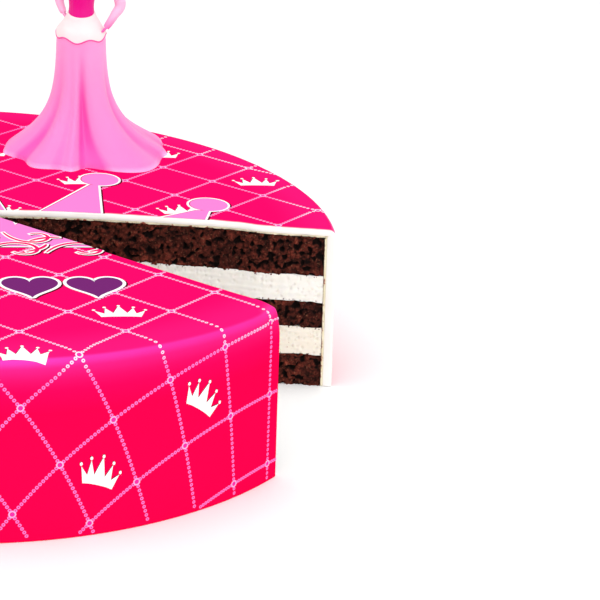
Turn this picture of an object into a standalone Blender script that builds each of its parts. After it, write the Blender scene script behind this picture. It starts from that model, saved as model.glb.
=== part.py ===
"""A round princess birthday cake with one wedge cut out, and the princess figure that stands on it.

Three chocolate sponges with two cream fillings, a thin coat of buttercream and a rolled icing cover.
The origin is the middle of the cake's underside, +Z is up, and the printed motifs read upright from -Y.
All sizes are in metres.
"""

import math

import bmesh
import bpy
from mathutils import Matrix, Vector

MM = 0.001
CLEARANCE = 0.3 * MM

# The cake, whose side spreads a little from the rim to the foot
RIM_RADIUS = 137.3 * MM
SIDE_SPREAD = 2.7 * MM
CAKE_HEIGHT = 63.3 * MM
EDGE_RADIUS = 3.2 * MM
EDGE_STEPS = 4
ICING_TOP = 2.2 * MM
ICING_SIDE = 3.5 * MM
COAT_THICKNESS = 0.9 * MM
COAT_EDGE_RADIUS = 1.5 * MM
CORNER_TRIM = 1.2 * MM
LAYERS = (
    ("sponge_bottom", 13.9 * MM),
    ("cream_lower", 9.55 * MM),
    ("sponge_middle", 11.0 * MM),
    ("cream_upper", 9.95 * MM),
    ("sponge_top", 15.8 * MM),
)
LAYER_WAVE = 0.7 * MM

# The wedge that was cut out, whose point lies a little off the middle
WEDGE_POINT = Vector((2.75 * MM, 6.92 * MM))
FAR_CUT = math.radians(-9.97)
NEAR_CUT = math.radians(314.47)
OUTLINE_STEPS_IN_CIRCLE = 48
OUTLINE_STEPS_KEPT = 43

# The princess figure, before it is scaled. Rows of numbers are in millimetres
FIGURE_PLACE = Vector((51.5 * MM, 80.5 * MM, CAKE_HEIGHT + CLEARANCE))
FIGURE_SCALE = 1.036
FIGURE_TURN = math.radians(-18)
HIP_SWAY = 4.2 * MM
SWAY_HEIGHT = 28 * MM
GOWN_SIDES = 60
GOWN_TOP = 46 * MM
GOWN_ROWS = (0.0, 0.9, 2.4, 4.6, 7.4, 11.0, 15.5, 21.0, 28.0, 36.5)
GOWN_WAIST = 9.3 * MM
GOWN_DEPTH = 0.84
HEM_LIP = 0.8 * MM
FLARE_HEIGHT = 11.8 * MM
FLARE_POWER = 1.15
HEM_TIPS_AND_DIPS = (
    (-154, 31.7),
    (-134, 27.8),
    (-118, 30.5),
    (-98, 26.6),
    (-90, 27.5),
    (-77, 21.5),
    (-32, 32.4),
    (0, 29.4),
    (12, 31.0),
    (24, 30.4),
    (50, 34.5),
    (88, 30.4),
    (138, 31.5),
    (163, 29.5),
    (190, 30.6),
    (206, 31.7),
)
BODY_SIDES = 24

HAIR_CENTRE = (0.0, 0.9, 85.2)
HAIR_RADII = (8.2, 8.6, 8.3)
BUN_CENTRE = (0.0, 8.6, 87.6)
BUN_RADII = (4.6, 3.9, 4.2)
HEAD_ROOM_CENTRE = (0.0, 0.0, 84.8)
HEAD_ROOM_RADII = (7.0, 7.5, 7.4)
FACE_GAP_CENTRE = (0.0, -7.6, 81.0)
FACE_GAP_SIZE = (20.0, 14.0, 17.0)
FACE_GAP_LEAN = -24
NAPE_GAP_CENTRE = (0.0, 0.0, 75.0)
NAPE_GAP_SIZE = (24.0, 30.0, 9.0)

ICING_PINK = (0.93, 0.002, 0.12, 1)
CREAM_WHITE = (0.93, 0.88, 0.78, 1)
BUTTER_YELLOW = (0.86, 0.74, 0.48, 1)
SPONGE_BROWN = (0.075, 0.022, 0.010, 1)
GOWN_PINK = (0.91, 0.28, 0.60, 1)
SASH_WHITE = (0.93, 0.86, 0.83, 1)
BODICE_MAGENTA = (0.80, 0.004, 0.28, 1)
SKIN = (0.87, 0.56, 0.43, 1)
HAIR_BROWN = (0.19, 0.07, 0.028, 1)
TIARA_GOLD = (0.83, 0.61, 0.22, 1)


def clear_scene():
    for thing in list(bpy.data.objects):
        bpy.data.objects.remove(thing)


def make_material(name, colour, roughness, metallic=0.0):
    material = bpy.data.materials.new(name)
    material.use_nodes = True
    shader = material.node_tree.nodes["Principled BSDF"]
    shader.inputs["Base Color"].default_value = colour
    shader.inputs["Roughness"].default_value = roughness
    shader.inputs["Metallic"].default_value = metallic
    return material


def make_object(name, bm, material, sharp_angle=40):
    """Turns a bmesh into a shaded object of that name."""
    bmesh.ops.recalc_face_normals(bm, faces=bm.faces)
    mesh = bpy.data.meshes.new(name)
    bm.to_mesh(mesh)
    bm.free()
    mesh.shade_smooth()
    mesh.set_sharp_from_angle(angle=math.radians(sharp_angle))
    thing = bpy.data.objects.new(name, mesh)
    thing.data.materials.append(material)
    bpy.context.scene.collection.objects.link(thing)
    return thing


def smooth_step(value):
    value = min(max(value, 0.0), 1.0)
    return value * value * (3 - 2 * value)


# The cake's outline: rays from the wedge's point, shared by every layer


def outline_rays():
    """Directions from the wedge's point through even steps round the cake's rim."""
    rays = [FAR_CUT]
    for step in range(OUTLINE_STEPS_KEPT):
        azimuth = 2 * math.pi * step / OUTLINE_STEPS_IN_CIRCLE
        rim = Vector((math.cos(azimuth), math.sin(azimuth))) * RIM_RADIUS - WEDGE_POINT
        ray = math.atan2(rim.y, rim.x)
        rays.append(ray if ray > FAR_CUT + 0.01 else ray + 2 * math.pi)
    rays.append(NEAR_CUT)
    return rays


def on_circle(ray, radius):
    """Where a ray from the wedge's point meets the circle of that radius round the cake's axis."""
    direction = Vector((math.cos(ray), math.sin(ray)))
    along = WEDGE_POINT.dot(direction)
    reach = math.sqrt(along**2 + radius**2 - WEDGE_POINT.length_squared) - along
    return WEDGE_POINT + direction * reach


def fan_rows(bm, rays, rings):
    """Vertices for rings of (radius, height function). The first ring is the wedge's point itself."""
    rows = []
    for radius, height in rings:
        if radius is None:
            rows.append([bm.verts.new((*WEDGE_POINT, height(*WEDGE_POINT)))])
            continue
        points = [on_circle(ray, radius) for ray in rays]
        rows.append([bm.verts.new((p.x, p.y, height(p.x, p.y))) for p in points])
    return rows


def bridge_rows(bm, rows):
    """Faces between neighbouring rows, where a row of one vertex is the wedge's point."""
    for first, second in zip(rows, rows[1:]):
        count = max(len(first), len(second))
        for i in range(count - 1):
            corners = []
            for row, order in ((first, (i, i + 1)), (second, (i + 1, i))):
                corners += [row[0]] if len(row) == 1 else [row[k] for k in order]
            bm.faces.new(corners)


def cut_solid(name, rings, material):
    """A solid swept round the cake from one cut to the other. rings run out over its upper side and
    back along its lower side, both from the wedge's point, so their ends outline the cut."""
    bm = bmesh.new()
    rows = fan_rows(bm, outline_rays(), rings)
    bridge_rows(bm, rows)
    for side in (0, -1):
        bm.faces.new([row[side] for row in rows])
    bmesh.ops.triangulate(bm, faces=bm.faces)
    return make_object(name, bm, material)


def layer_wave(number):
    """The uneven height of the border above a layer, as spread by hand."""

    def height(x, y):
        turn = 1.7 * number
        broad = math.sin(x / (31 * MM) + turn) * math.cos(y / (27 * MM) - 2 * turn)
        fine = math.sin((x - y) / (13 * MM) + 3 * turn)
        return LAYER_WAVE * (0.7 * broad + 0.3 * fine)

    return height


def flat(z):
    return lambda x, y: z


def raised(z, wave):
    return lambda x, y: z + wave(x, y)


def spread(rim, height):
    """The radius at a height of a side that has the radius rim at the cake's top."""
    return rim + SIDE_SPREAD * (1 - height / CAKE_HEIGHT)


def make_layers(sponge, cream):
    """The sponges and fillings, from the bottom up. The topmost has its upper corner trimmed."""
    rim = RIM_RADIUS - ICING_SIDE - COAT_THICKNESS - 2 * CLEARANCE
    inner_radii = (None, 75 * MM)
    base = 0.0
    under = flat(0.0)
    for number, (name, thickness) in enumerate(LAYERS):
        top = base + thickness
        if number == len(LAYERS) - 1:
            upper = skin_rings(rim, top - CLEARANCE, None, CORNER_TRIM, 1)
        else:
            over = raised(top - CLEARANCE, layer_wave(number))
            upper = [(r, over) for r in (*inner_radii, spread(rim, top))]
        lower = [(r, under) for r in (spread(rim, base), *reversed(inner_radii))]
        cut_solid(name, upper + lower, sponge if "sponge" in name else cream)
        under = raised(top, layer_wave(number))
        base = top


def skin_rings(rim, top, foot, edge_radius, edge_steps):
    """Rings of one skin: the flat top, the rounded or trimmed edge and, if it has one, the foot."""
    radius = spread(rim, top - edge_radius)
    rings = [(None, flat(top)), (70 * MM, flat(top))]
    for step in range(edge_steps + 1):
        turn = math.pi / 2 * step / edge_steps
        reach = radius - edge_radius + edge_radius * math.sin(turn)
        rings.append((reach, flat(top - edge_radius + edge_radius * math.cos(turn))))
    if foot is not None:
        rings.append((spread(rim, foot), flat(foot)))
    return rings


def make_cover(name, outside, inside, foot, material):
    """A cover over the top and side, open at the two cuts. outside and inside are each skin's
    rim radius, top, edge radius and steps in the edge."""
    outer, inner = (
        skin_rings(rim, top, foot, edge, steps) for rim, top, edge, steps in (outside, inside)
    )
    return cut_solid(name, outer + inner[::-1], material)


def make_coat(material):
    rim = RIM_RADIUS - ICING_SIDE - CLEARANCE
    top = CAKE_HEIGHT - ICING_TOP - CLEARANCE
    outside = (rim, top, COAT_EDGE_RADIUS, EDGE_STEPS)
    inside = (rim - COAT_THICKNESS, top - COAT_THICKNESS + CLEARANCE, CORNER_TRIM, 1)
    make_cover("butter_coat", outside, inside, CLEARANCE, material)


def make_icing(material):
    outside = (RIM_RADIUS, CAKE_HEIGHT, EDGE_RADIUS, EDGE_STEPS)
    inside = (RIM_RADIUS - ICING_SIDE, CAKE_HEIGHT - ICING_TOP, COAT_EDGE_RADIUS, EDGE_STEPS)
    make_cover("icing", outside, inside, 0.0, material)


# The princess figure, modelled upright at the origin and facing -Y


def loft(name, rows, material, sharp_angle=40):
    """A closed solid through loops of the same number of points, with fans over both ends."""
    bm = bmesh.new()
    loops = [[bm.verts.new(p) for p in row] for row in rows]
    for first, second in zip(loops, loops[1:]):
        for i in range(len(first)):
            j = (i + 1) % len(first)
            bm.faces.new((first[i], first[j], second[j], second[i]))
    for loop in (loops[0], loops[-1]):
        middle = bm.verts.new(sum((v.co for v in loop), Vector()) / len(loop))
        for i in range(len(loop)):
            bm.faces.new((loop[i], loop[(i + 1) % len(loop)], middle))
    bmesh.ops.triangulate(bm, faces=bm.faces)
    return place_on_cake(make_object(name, bm, material, sharp_angle))


def place_on_cake(thing):
    """Sways the hips to one side, turns and scales the figure and sets it on the icing."""
    for vertex in thing.data.vertices:
        vertex.co.x -= HIP_SWAY * (1 - math.exp(-vertex.co.z / SWAY_HEIGHT))
    thing.data.transform(Matrix.Rotation(FIGURE_TURN, 4, "Z") @ Matrix.Scale(FIGURE_SCALE, 4))
    thing.location = FIGURE_PLACE
    return thing


def oval(centre, half_width, half_depth, height, sides=BODY_SIDES, rise=None):
    """A level oval loop. rise lifts each point by its angle, 0 at +X and a quarter turn at +Y."""
    points = []
    for i in range(sides):
        turn = 2 * math.pi * i / sides
        x = centre[0] + half_width * math.cos(turn)
        y = centre[1] + half_depth * math.sin(turn)
        points.append(Vector((x, y, height + (rise(turn) if rise else 0.0))))
    return points


def hem_reach(turn):
    """How far the wavy hem stands out at an angle."""
    degrees = (math.degrees(turn) + 154) % 360 - 154
    for (start, first), (end, second) in zip(HEM_TIPS_AND_DIPS, HEM_TIPS_AND_DIPS[1:]):
        if degrees <= end:
            return (first + (second - first) * smooth_step((degrees - start) / (end - start))) * MM
    return HEM_TIPS_AND_DIPS[0][1] * MM


def gown_reach(turn, height):
    """The gown's radius at an angle and a height: the waist's oval flaring into the wavy hem."""
    waist = GOWN_WAIST * math.hypot(math.cos(turn), GOWN_DEPTH * math.sin(turn))
    flare = math.exp(-((max(height - HEM_LIP, 0.0) / FLARE_HEIGHT) ** FLARE_POWER))
    lip = 0.97 if height == 0 else 1.0
    return waist + (hem_reach(turn) * lip - waist) * flare


def hip_line(turn):
    """The wavy border between the gown and the sash, lowest at the front."""
    return (1.6 * math.sin(turn) + 0.7 * math.cos(6 * turn)) * MM


def waist_line(turn):
    """The border between the sash and the bodice, which dips at the front."""
    return 1.3 * MM * math.sin(turn)


def make_gown(material):
    rows = []
    for height in GOWN_ROWS:
        row = []
        for i in range(GOWN_SIDES):
            turn = 2 * math.pi * i / GOWN_SIDES
            reach = gown_reach(turn, height * MM)
            row.append(Vector((reach * math.cos(turn), reach * math.sin(turn), height * MM)))
        rows.append(row)
    top = oval((0, 0), GOWN_WAIST, GOWN_WAIST * GOWN_DEPTH, GOWN_TOP, GOWN_SIDES, hip_line)
    loft("figure_gown", rows + [top], material)


def make_sash(material):
    bottom = GOWN_TOP + CLEARANCE
    loft(
        "figure_sash",
        [
            oval((0, 0), 9.4 * MM, 7.9 * MM, bottom, rise=hip_line),
            oval((0, 0), 9.3 * MM, 7.8 * MM, bottom + 1.0 * MM, rise=hip_line),
            oval((0, 0), 7.3 * MM, 6.1 * MM, bottom + 4.4 * MM, rise=waist_line),
            oval((0, 0), 5.2 * MM, 4.4 * MM, bottom + 8.0 * MM, rise=waist_line),
        ],
        material,
    )


def make_bodice(material):
    bottom = GOWN_TOP + 8.0 * MM + 2 * CLEARANCE
    sizes = (
        (0.0, 4.9, 4.1, 0.0),
        (3.0, 4.8, 4.0, 0.0),
        (7.0, 5.4, 4.5, -0.2),
        (11.0, 6.4, 5.2, -0.5),
        (14.5, 6.9, 5.4, -0.6),
        (17.0, 6.6, 4.7, -0.2),
        (18.0, 6.2, 4.2, 0.0),
    )
    rows = []
    for rise, width, depth, forward in sizes:
        line = waist_line if rise == 0 else None
        rows.append(oval((0, forward * MM), width * MM, depth * MM, bottom + rise * MM, rise=line))
    loft("figure_bodice", rows, material)


def tube(name, path, radii, material, sides=10):
    """A limb of round sections along a path of points."""
    rows = []
    for i, point in enumerate(path):
        ahead = path[min(i + 1, len(path) - 1)] - path[max(i - 1, 0)]
        across = ahead.cross(Vector((0, 1, 0))).normalized()
        other = across.cross(ahead).normalized()
        row = []
        for k in range(sides):
            turn = 2 * math.pi * k / sides
            row.append(point + radii[i] * (across * math.cos(turn) + other * math.sin(turn)))
        rows.append(row)
    loft(name, rows, material)


def limb_path(corners, steps=4):
    """Points along a smooth curve through the corners."""
    points = []
    last = len(corners) - 1
    for i in range(last):
        before = corners[max(i - 1, 0)]
        start = corners[i]
        end = corners[i + 1]
        after = corners[min(i + 2, last)]
        for step in range(steps):
            t = step / steps
            bend = (2 * before - 5 * start + 4 * end - after) * t**2
            bend += (3 * start - before - 3 * end + after) * t**3
            points.append(start + ((end - before) * t + bend) / 2)
    return points + [corners[-1].copy()]


def make_arms(material):
    """Both arms from shoulder to hand, bent at the elbow with the hands on the hips."""
    left = ((8.4, 0.6, 70.6), (10.6, 2.0, 67.6), (14.4, 3.2, 58.8), (12.6, 1.0, 54.2), (9.9, -1.0, 49.6))
    right = ((-8.4, 0.6, 70.6), (-9.4, 2.4, 67.6), (-9.8, 4.6, 60.2), (-9.2, 3.4, 56.6), (-7.4, 2.0, 53.2))
    thickness = (1.5, 2.2, 2.5, 2.3, 2.1, 2.1, 2.2, 2.0, 1.85, 1.65, 1.5, 1.4, 1.0)
    for name, corners in (("figure_arm_left", left), ("figure_arm_right", right)):
        path = limb_path([Vector(corner) * MM for corner in corners], 3)
        tube(name, path, [t * MM for t in thickness], material)


def make_head(material):
    """Shoulders, neck and a plain doll's head in one piece."""
    bottom = GOWN_TOP + 26.0 * MM + 3 * CLEARANCE
    sizes = (
        (0.0, 6.3, 4.0, 0.0),
        (0.9, 6.1, 3.7, 0.0),
        (1.9, 4.2, 3.0, 0.1),
        (2.9, 2.1, 2.1, 0.2),
        (5.2, 1.9, 2.0, 0.0),
        (6.2, 3.0, 3.4, -0.5),
        (7.6, 4.5, 4.9, -0.5),
        (9.6, 5.7, 6.0, -0.3),
        (12.0, 6.2, 6.5, 0.0),
        (14.4, 6.0, 6.4, 0.0),
        (16.4, 5.0, 5.4, 0.2),
        (17.8, 3.2, 3.5, 0.2),
        (18.4, 1.2, 1.3, 0.2),
    )
    rows = [oval((0, y * MM), w * MM, d * MM, bottom + z * MM) for z, w, d, y in sizes]
    return loft("figure_head", rows, material)


def ellipsoid(centre, radii, segments):
    bm = bmesh.new()
    bmesh.ops.create_uvsphere(bm, u_segments=segments, v_segments=segments // 2, radius=1.0)
    bm.transform(Matrix.LocRotScale(Vector(centre) * MM, None, Vector(radii) * MM))
    return bm


def box(centre, size, lean=0.0):
    bm = bmesh.new()
    bmesh.ops.create_cube(bm, size=1.0)
    turn = Matrix.Rotation(math.radians(lean), 3, "X").to_quaternion()
    bm.transform(Matrix.LocRotScale(Vector(centre) * MM, turn, Vector(size) * MM))
    return bm


def make_hair(material):
    """A close cap of hair round the back of the head, with a bun behind the crown."""
    hair = place_on_cake(make_object("figure_hair", ellipsoid(HAIR_CENTRE, HAIR_RADII, 24), material))
    shapes = (
        ("hair_bun", "UNION", ellipsoid(BUN_CENTRE, BUN_RADII, 14)),
        ("hair_head_room", "DIFFERENCE", ellipsoid(HEAD_ROOM_CENTRE, HEAD_ROOM_RADII, 24)),
        ("hair_face_gap", "DIFFERENCE", box(FACE_GAP_CENTRE, FACE_GAP_SIZE, FACE_GAP_LEAN)),
        ("hair_nape_gap", "DIFFERENCE", box(NAPE_GAP_CENTRE, NAPE_GAP_SIZE)),
    )
    for name, operation, shape in shapes:
        helper = place_on_cake(make_object(name, shape, material))
        helper.hide_render = True
        helper.display_type = "WIRE"
        joined = hair.modifiers.new(name, "BOOLEAN")
        joined.operation = operation
        joined.solver = "EXACT"
        joined.object = helper


def make_tiara(material):
    """A small crescent with three points, set over the front of the hair."""
    steps = 36
    bottom = GOWN_TOP + 43.4 * MM
    radius = 7.7 * MM
    wall = 0.9 * MM
    centre = Vector((0, 0.9 * MM, 0))
    rows = []
    for i in range(steps + 1):
        along = 2 * i / steps - 1
        turn = math.radians(-90 + 96 * along)
        crest = 1.0 + 3.4 * (1 - along**2) * abs(math.cos(1.5 * math.pi * along))
        outward = Vector((math.cos(turn), 1.04 * math.sin(turn), 0))
        corners = ((radius, 0.0), (radius + wall, 0.0), (radius + wall, crest), (radius, crest))
        rows.append([centre + outward * r + Vector((0, 0, bottom + z * MM)) for r, z in corners])
    loft("figure_tiara", rows, material)


def main():
    clear_scene()
    make_layers(
        make_material("chocolate_sponge", SPONGE_BROWN, 0.9),
        make_material("cream_filling", CREAM_WHITE, 0.6),
    )
    make_coat(make_material("buttercream", BUTTER_YELLOW, 0.55))
    make_icing(make_material("pink_icing", ICING_PINK, 0.35))
    gown_pink = make_material("gown_pink", GOWN_PINK, 0.5)
    make_gown(gown_pink)
    make_sash(make_material("sash_white", SASH_WHITE, 0.5))
    make_bodice(make_material("bodice_magenta", BODICE_MAGENTA, 0.45))
    make_arms(gown_pink)
    make_head(make_material("doll_skin", SKIN, 0.45))
    make_hair(make_material("hair_brown", HAIR_BROWN, 0.5))
    make_tiara(make_material("tiara_gold", TIARA_GOLD, 0.3, 0.8))


main()
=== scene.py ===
"""The looks of a princess birthday cake: printed rolled icing, cut sponge and cream, and a small figure."""

import math

import bmesh
import bpy
import numpy as np
from bpy.props import FloatProperty, FloatVectorProperty, IntProperty, PointerProperty
from mathutils import Matrix, Vector, noise


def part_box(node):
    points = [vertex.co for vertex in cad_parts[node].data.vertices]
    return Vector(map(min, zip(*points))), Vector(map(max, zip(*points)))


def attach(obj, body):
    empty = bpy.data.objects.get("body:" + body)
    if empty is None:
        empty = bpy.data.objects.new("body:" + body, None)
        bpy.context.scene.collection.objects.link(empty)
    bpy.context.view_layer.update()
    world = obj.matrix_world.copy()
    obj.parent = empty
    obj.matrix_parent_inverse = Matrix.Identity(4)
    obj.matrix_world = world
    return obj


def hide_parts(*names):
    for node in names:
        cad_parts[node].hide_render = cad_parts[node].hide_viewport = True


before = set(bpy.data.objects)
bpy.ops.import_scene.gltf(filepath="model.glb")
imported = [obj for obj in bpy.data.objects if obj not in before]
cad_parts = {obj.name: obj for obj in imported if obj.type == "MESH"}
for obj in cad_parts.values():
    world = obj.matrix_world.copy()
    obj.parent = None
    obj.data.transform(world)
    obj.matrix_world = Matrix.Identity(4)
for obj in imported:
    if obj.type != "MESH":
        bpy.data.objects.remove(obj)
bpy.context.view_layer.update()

bl_info = {
    "name": "Princess cake",
    "version": (1, 0, 0),
    "blender": (4, 5, 0),
    "location": "View3D > Sidebar > Cake",
    "description": "A cut round layer cake in printed icing with a small princess figure",
    "category": "Object",
}

MM = 0.001
# Without a seed, the crumb's noise would differ from run to run
CRUMB_SEED = 7

# Where the cake was cut: the wedge's point, and the headings of its two cuts
WEDGE_POINT = Vector((2.75 * MM, 6.92 * MM))
FAR_CUT = math.radians(-9.97)
NEAR_CUT = math.radians(314.47)
FAR, NEAR = 0, 1
# How far each cut bows back into the cake at distances along it, in millimetres
CUT_BOWS = (
    ((0, 0.0), (10, 0.3), (20, 1.4), (32, 2.6), (48, 3.3), (88, 3.4), (99, 2.5), (107, 0.7), (118, 0.0)),
    ((0, 0.0), (110, 0.0), (122, -0.4), (134, -1.1), (150, -1.2)),
)
# Distances from a cut at which the icing has columns of points, in millimetres, the mark of those
# further off, and the number of steps across a cut face
CUT_OFFSETS, FAR_FROM_CUT, CUT_STEPS = (0.0, 0.12, 0.3, 0.62, 1.2, 2.4), 9.0, 5
# The layers, from the table up
LAYERS = ("sponge_bottom", "cream_lower", "sponge_middle", "cream_upper", "sponge_top")

# The printed sheet's lattice, from one crossing, and its ornaments, in millimetres on the flat sheet
LATTICE_CROSSING = (45.91, -113.64)
LATTICE_COLUMNS, LATTICE_ROWS = range(-16, 11), range(-7, 21)
BIG_CROWN_HALF = (
    (0.0, -33.5), (79.1, -33.5), (84.1, -17.1), (91.3, 6.5), (86.1, 6.9),
    (48.4, -15.8), (52.1, 36.5), (48.9, 36.6), (16.9, -10.4), (0.6, 86.5),
)
BIG_CROWN_BALLS, BIG_BALL = ((91.9, 13.3), (53.3, 42.9), (0.0, 91.0)), 7.45
SMALL_CROWN_HALF = (
    (0.0, 0.15), (3.6, 0.1), (6.7, -0.2), (8.5, 5.2), (5.35, 2.7), (4.75, 7.7), (2.35, 3.2), (0.25, 9.0),
)
SMALL_CROWN_BALLS, SMALL_BALL = ((8.7, 5.9), (4.9, 8.3), (0.0, 9.7)), 0.6
SWIRL_STEPS, STROKE_TAPER = 26, 0.35
HEART_SPOTS = [(-4.3 + 22.2 * k, -72.5) for k in range(-2, 3)]
# How high the prints stand over the icing, in millimetres, each over the one before where they overlap
SMALL_CROWN_LIFT, SMALL_BALL_LIFT, SMALL_SHADE_DROP = 0.03, 0.04, 0.02
SHADE_LIFT, OUTLINE_LIFT, LINE_LIFT, FILL_LIFT, LIFT_STEP = 0.05, 0.07, 0.08, 0.125, 0.002
SCROLL_SHADE_LIFT, SCROLL_OUTLINE_LIFT, SCROLL_LIFT = 0.155, 0.175, 0.20
HEART_OUTLINE_LIFT, HEART_LIFT = 0.08, 0.12
# How far a print keeps off the far and the near cut
PRINT_MARGINS = (0.7 * MM, 0.1 * MM)

# The figure's place on the cake, how it stands, and the gown's cut
FIGURE_PLACE = Vector((51.5 * MM, 80.5 * MM, 63.6 * MM))
FIGURE_SCALE = 1.036
FIGURE_TURN = math.radians(-18)
HIP_SWAY, SWAY_HEIGHT = 4.2 * MM, 28 * MM
GOWN_WAIST, GOWN_DEPTH = 9.3 * MM, 0.84
FLARE_HEIGHT, FLARE_POWER = 11.8 * MM, 1.15
HEM_TIPS_AND_DIPS = (
    (-154, 31.7), (-134, 27.8), (-118, 30.5), (-98, 26.6), (-90, 27.5), (-77, 21.5), (-32, 32.4), (0, 29.4),
    (12, 31.0), (24, 30.4), (50, 34.5), (88, 30.4), (138, 31.5), (163, 29.5), (190, 30.6), (206, 31.7),
)
GOWN_FOLDS = (
    (-77, 12, 1.9), (-101, 9, 0.5), (-130, 13, 0.6), (-154, 9, 0.3), (-12, 11, 1.1), (14, 7, 0.8), (40, 9, 0.7),
    (66, 9, 0.9), (92, 10, 1.0), (118, 9, 0.8), (142, 9, 0.9), (168, 9, 0.8), (-172, 7, 0.5),
)
GOWN_ROWS = (-0.7, -0.3, 0.0, 0.25, 0.5, 0.9, 1.4, 2.0, 2.8, 3.6, *np.linspace(4.5, 43.5, 92))
GOWN_TOP, HIP_HEIGHT, WAIST_HEIGHT = 43.5 * MM, 46.25 * MM, 54.6 * MM
# Rows of half width, half depth and rise over the hips, and how much of the hip and waist lines they follow
SASH_ROWS = (
    (9.0, 7.5, 0.0, 1.0, 0.0), (9.62, 8.1, 0.12, 1.0, 0.0), (9.6, 8.05, 0.9, 1.0, 0.0),
    (8.7, 7.3, 2.4, 0.6, 0.0), (7.4, 6.2, 4.4, 0.0, 1.0), (6.2, 5.25, 6.2, 0.0, 1.0),
    (5.35, 4.6, 8.1, 0.0, 1.0), (4.7, 3.9, 8.3, 0.0, 1.0),
)
# Rows of rise, half width, half depth and shift in Y, in millimetres
BODICE_ROWS = (
    (-1.4, 4.7, 3.9, 0.0), (0.0, 4.9, 4.1, 0.0), (3.0, 4.8, 4.0, 0.0), (7.0, 5.4, 4.5, -0.2),
    (11.0, 6.4, 5.2, -0.5), (14.5, 6.9, 5.4, -0.6), (17.0, 6.6, 4.7, -0.2), (18.1, 6.3, 4.3, 0.0),
    (18.2, 5.6, 3.6, 0.0),
)
HEAD_ROWS = (
    (0.0, 6.3, 4.0, 0.0), (0.9, 6.1, 3.7, 0.0), (1.9, 4.2, 3.0, 0.1), (2.9, 2.2, 2.2, 0.2),
    (5.2, 1.9, 2.0, 0.0), (6.2, 2.7, 3.2, -0.6), (7.6, 4.2, 4.8, -0.6), (9.6, 5.5, 5.9, -0.3),
    (12.0, 6.15, 6.4, 0.0), (14.4, 6.0, 6.4, 0.0), (16.4, 5.0, 5.4, 0.2), (17.8, 3.2, 3.5, 0.2),
    (18.4, 1.2, 1.3, 0.2),
)
HEAD_FOOT, FACE_HEIGHT = 72.9 * MM, 84.0 * MM
# The tiara's foot and the reach of its crest from the head's middle, in millimetres
TIARA_FOOT, TIARA_REACH = 89.4, 8.05
ARM_RADII = (1.5, 2.2, 2.5, 2.3, 2.1, 2.1, 2.2, 2.0, 1.85, 1.65, 1.5, 1.4, 1.15)
ARM_PATHS = {
    "left": ((8.4, 0.6, 70.6), (10.6, 2.0, 67.6), (14.4, 3.2, 58.8), (12.6, 1.0, 54.2), (9.9, -1.0, 49.6)),
    "right": ((-8.4, 0.6, 70.6), (-9.4, 2.4, 67.6), (-9.8, 4.6, 60.2), (-9.2, 3.4, 56.6), (-7.4, 2.0, 53.2)),
}
# Each finger's place across the hand and its length, and how a finger thins out
FINGERS = ((-0.75, 2.2), (-0.25, 2.7), (0.28, 2.6), (0.8, 2.1))
FINGER_RADII = (0.5, 0.5, 0.48, 0.46, 0.44, 0.42, 0.36, 0.18)
HAIR_MIDDLE, HAIR_RADII = np.array((0, 0.9, 85.2)) * MM, np.array((8.0, 8.4, 8.1)) * MM
BUN_MIDDLE, BUN_RADII = np.array((0, 8.6, 87.6)) * MM, np.array((4.5, 3.8, 4.1)) * MM

# The photograph's camera: its sideways and upward directions and its place
CAMERA_RIGHT, CAMERA_UP = Vector((0.98055, -0.18371, 0.06907)), Vector((0.00282, 0.36506, 0.93098))
CAMERA_PLACE = Vector((-41.533, -786.269, 337.976)) * MM
FLOOR_HALF = 3.0


def cake():
    return bpy.context.scene.cake_sizes


def printed():
    return bpy.context.scene.cake_print


def crumb():
    return bpy.context.scene.cake_crumb


def figure():
    return bpy.context.scene.cake_figure


def length(name, description, default):
    return FloatProperty(name=name, description=description, default=default, unit="LENGTH", precision=5)


def colour(name, description, default):
    return FloatVectorProperty(
        name=name, description=description, default=default, subtype="COLOR", size=3, min=0, max=1
    )


class CakeSizes(bpy.types.PropertyGroup):
    radius: length("Rim radius", "Radius of the iced cake at its top, before the edge is rounded", 0.13715)
    foot: length("Foot radius", "Radius of the iced cake at its foot", 0.13982)
    height: length("Height", "Height of the iced cake", 0.06315)
    edge_radius: length("Edge radius", "Rounding of the icing's top edge", 0.0031)
    drawn: length("Drawn out", "How far the printed sheet is drawn out over the edge", 0.00309)
    drawn_late: length("Drawn late", "How much further down it is drawn out at the front", 0.0049)
    hang: FloatProperty(name="Hang", description="How much longer the print is on the side", default=1.06)
    icing_top: length("Icing on top", "Thickness of the icing on the top", 0.0021)
    icing_side: length("Icing at the side", "Thickness of the icing at the side", 0.0035)
    coat: length("Butter coat", "Thickness of the coat under the icing", 0.0008)
    swell: length("Swell", "Unevenness of the rolled icing", 0.00022)
    corner_sag: length("Corner sag", "How far the near cut's corner has sunk", 0.0015)
    cut_round: length("Cut rounding", "Rounding of the icing where the knife pressed it", 0.0007)


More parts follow.
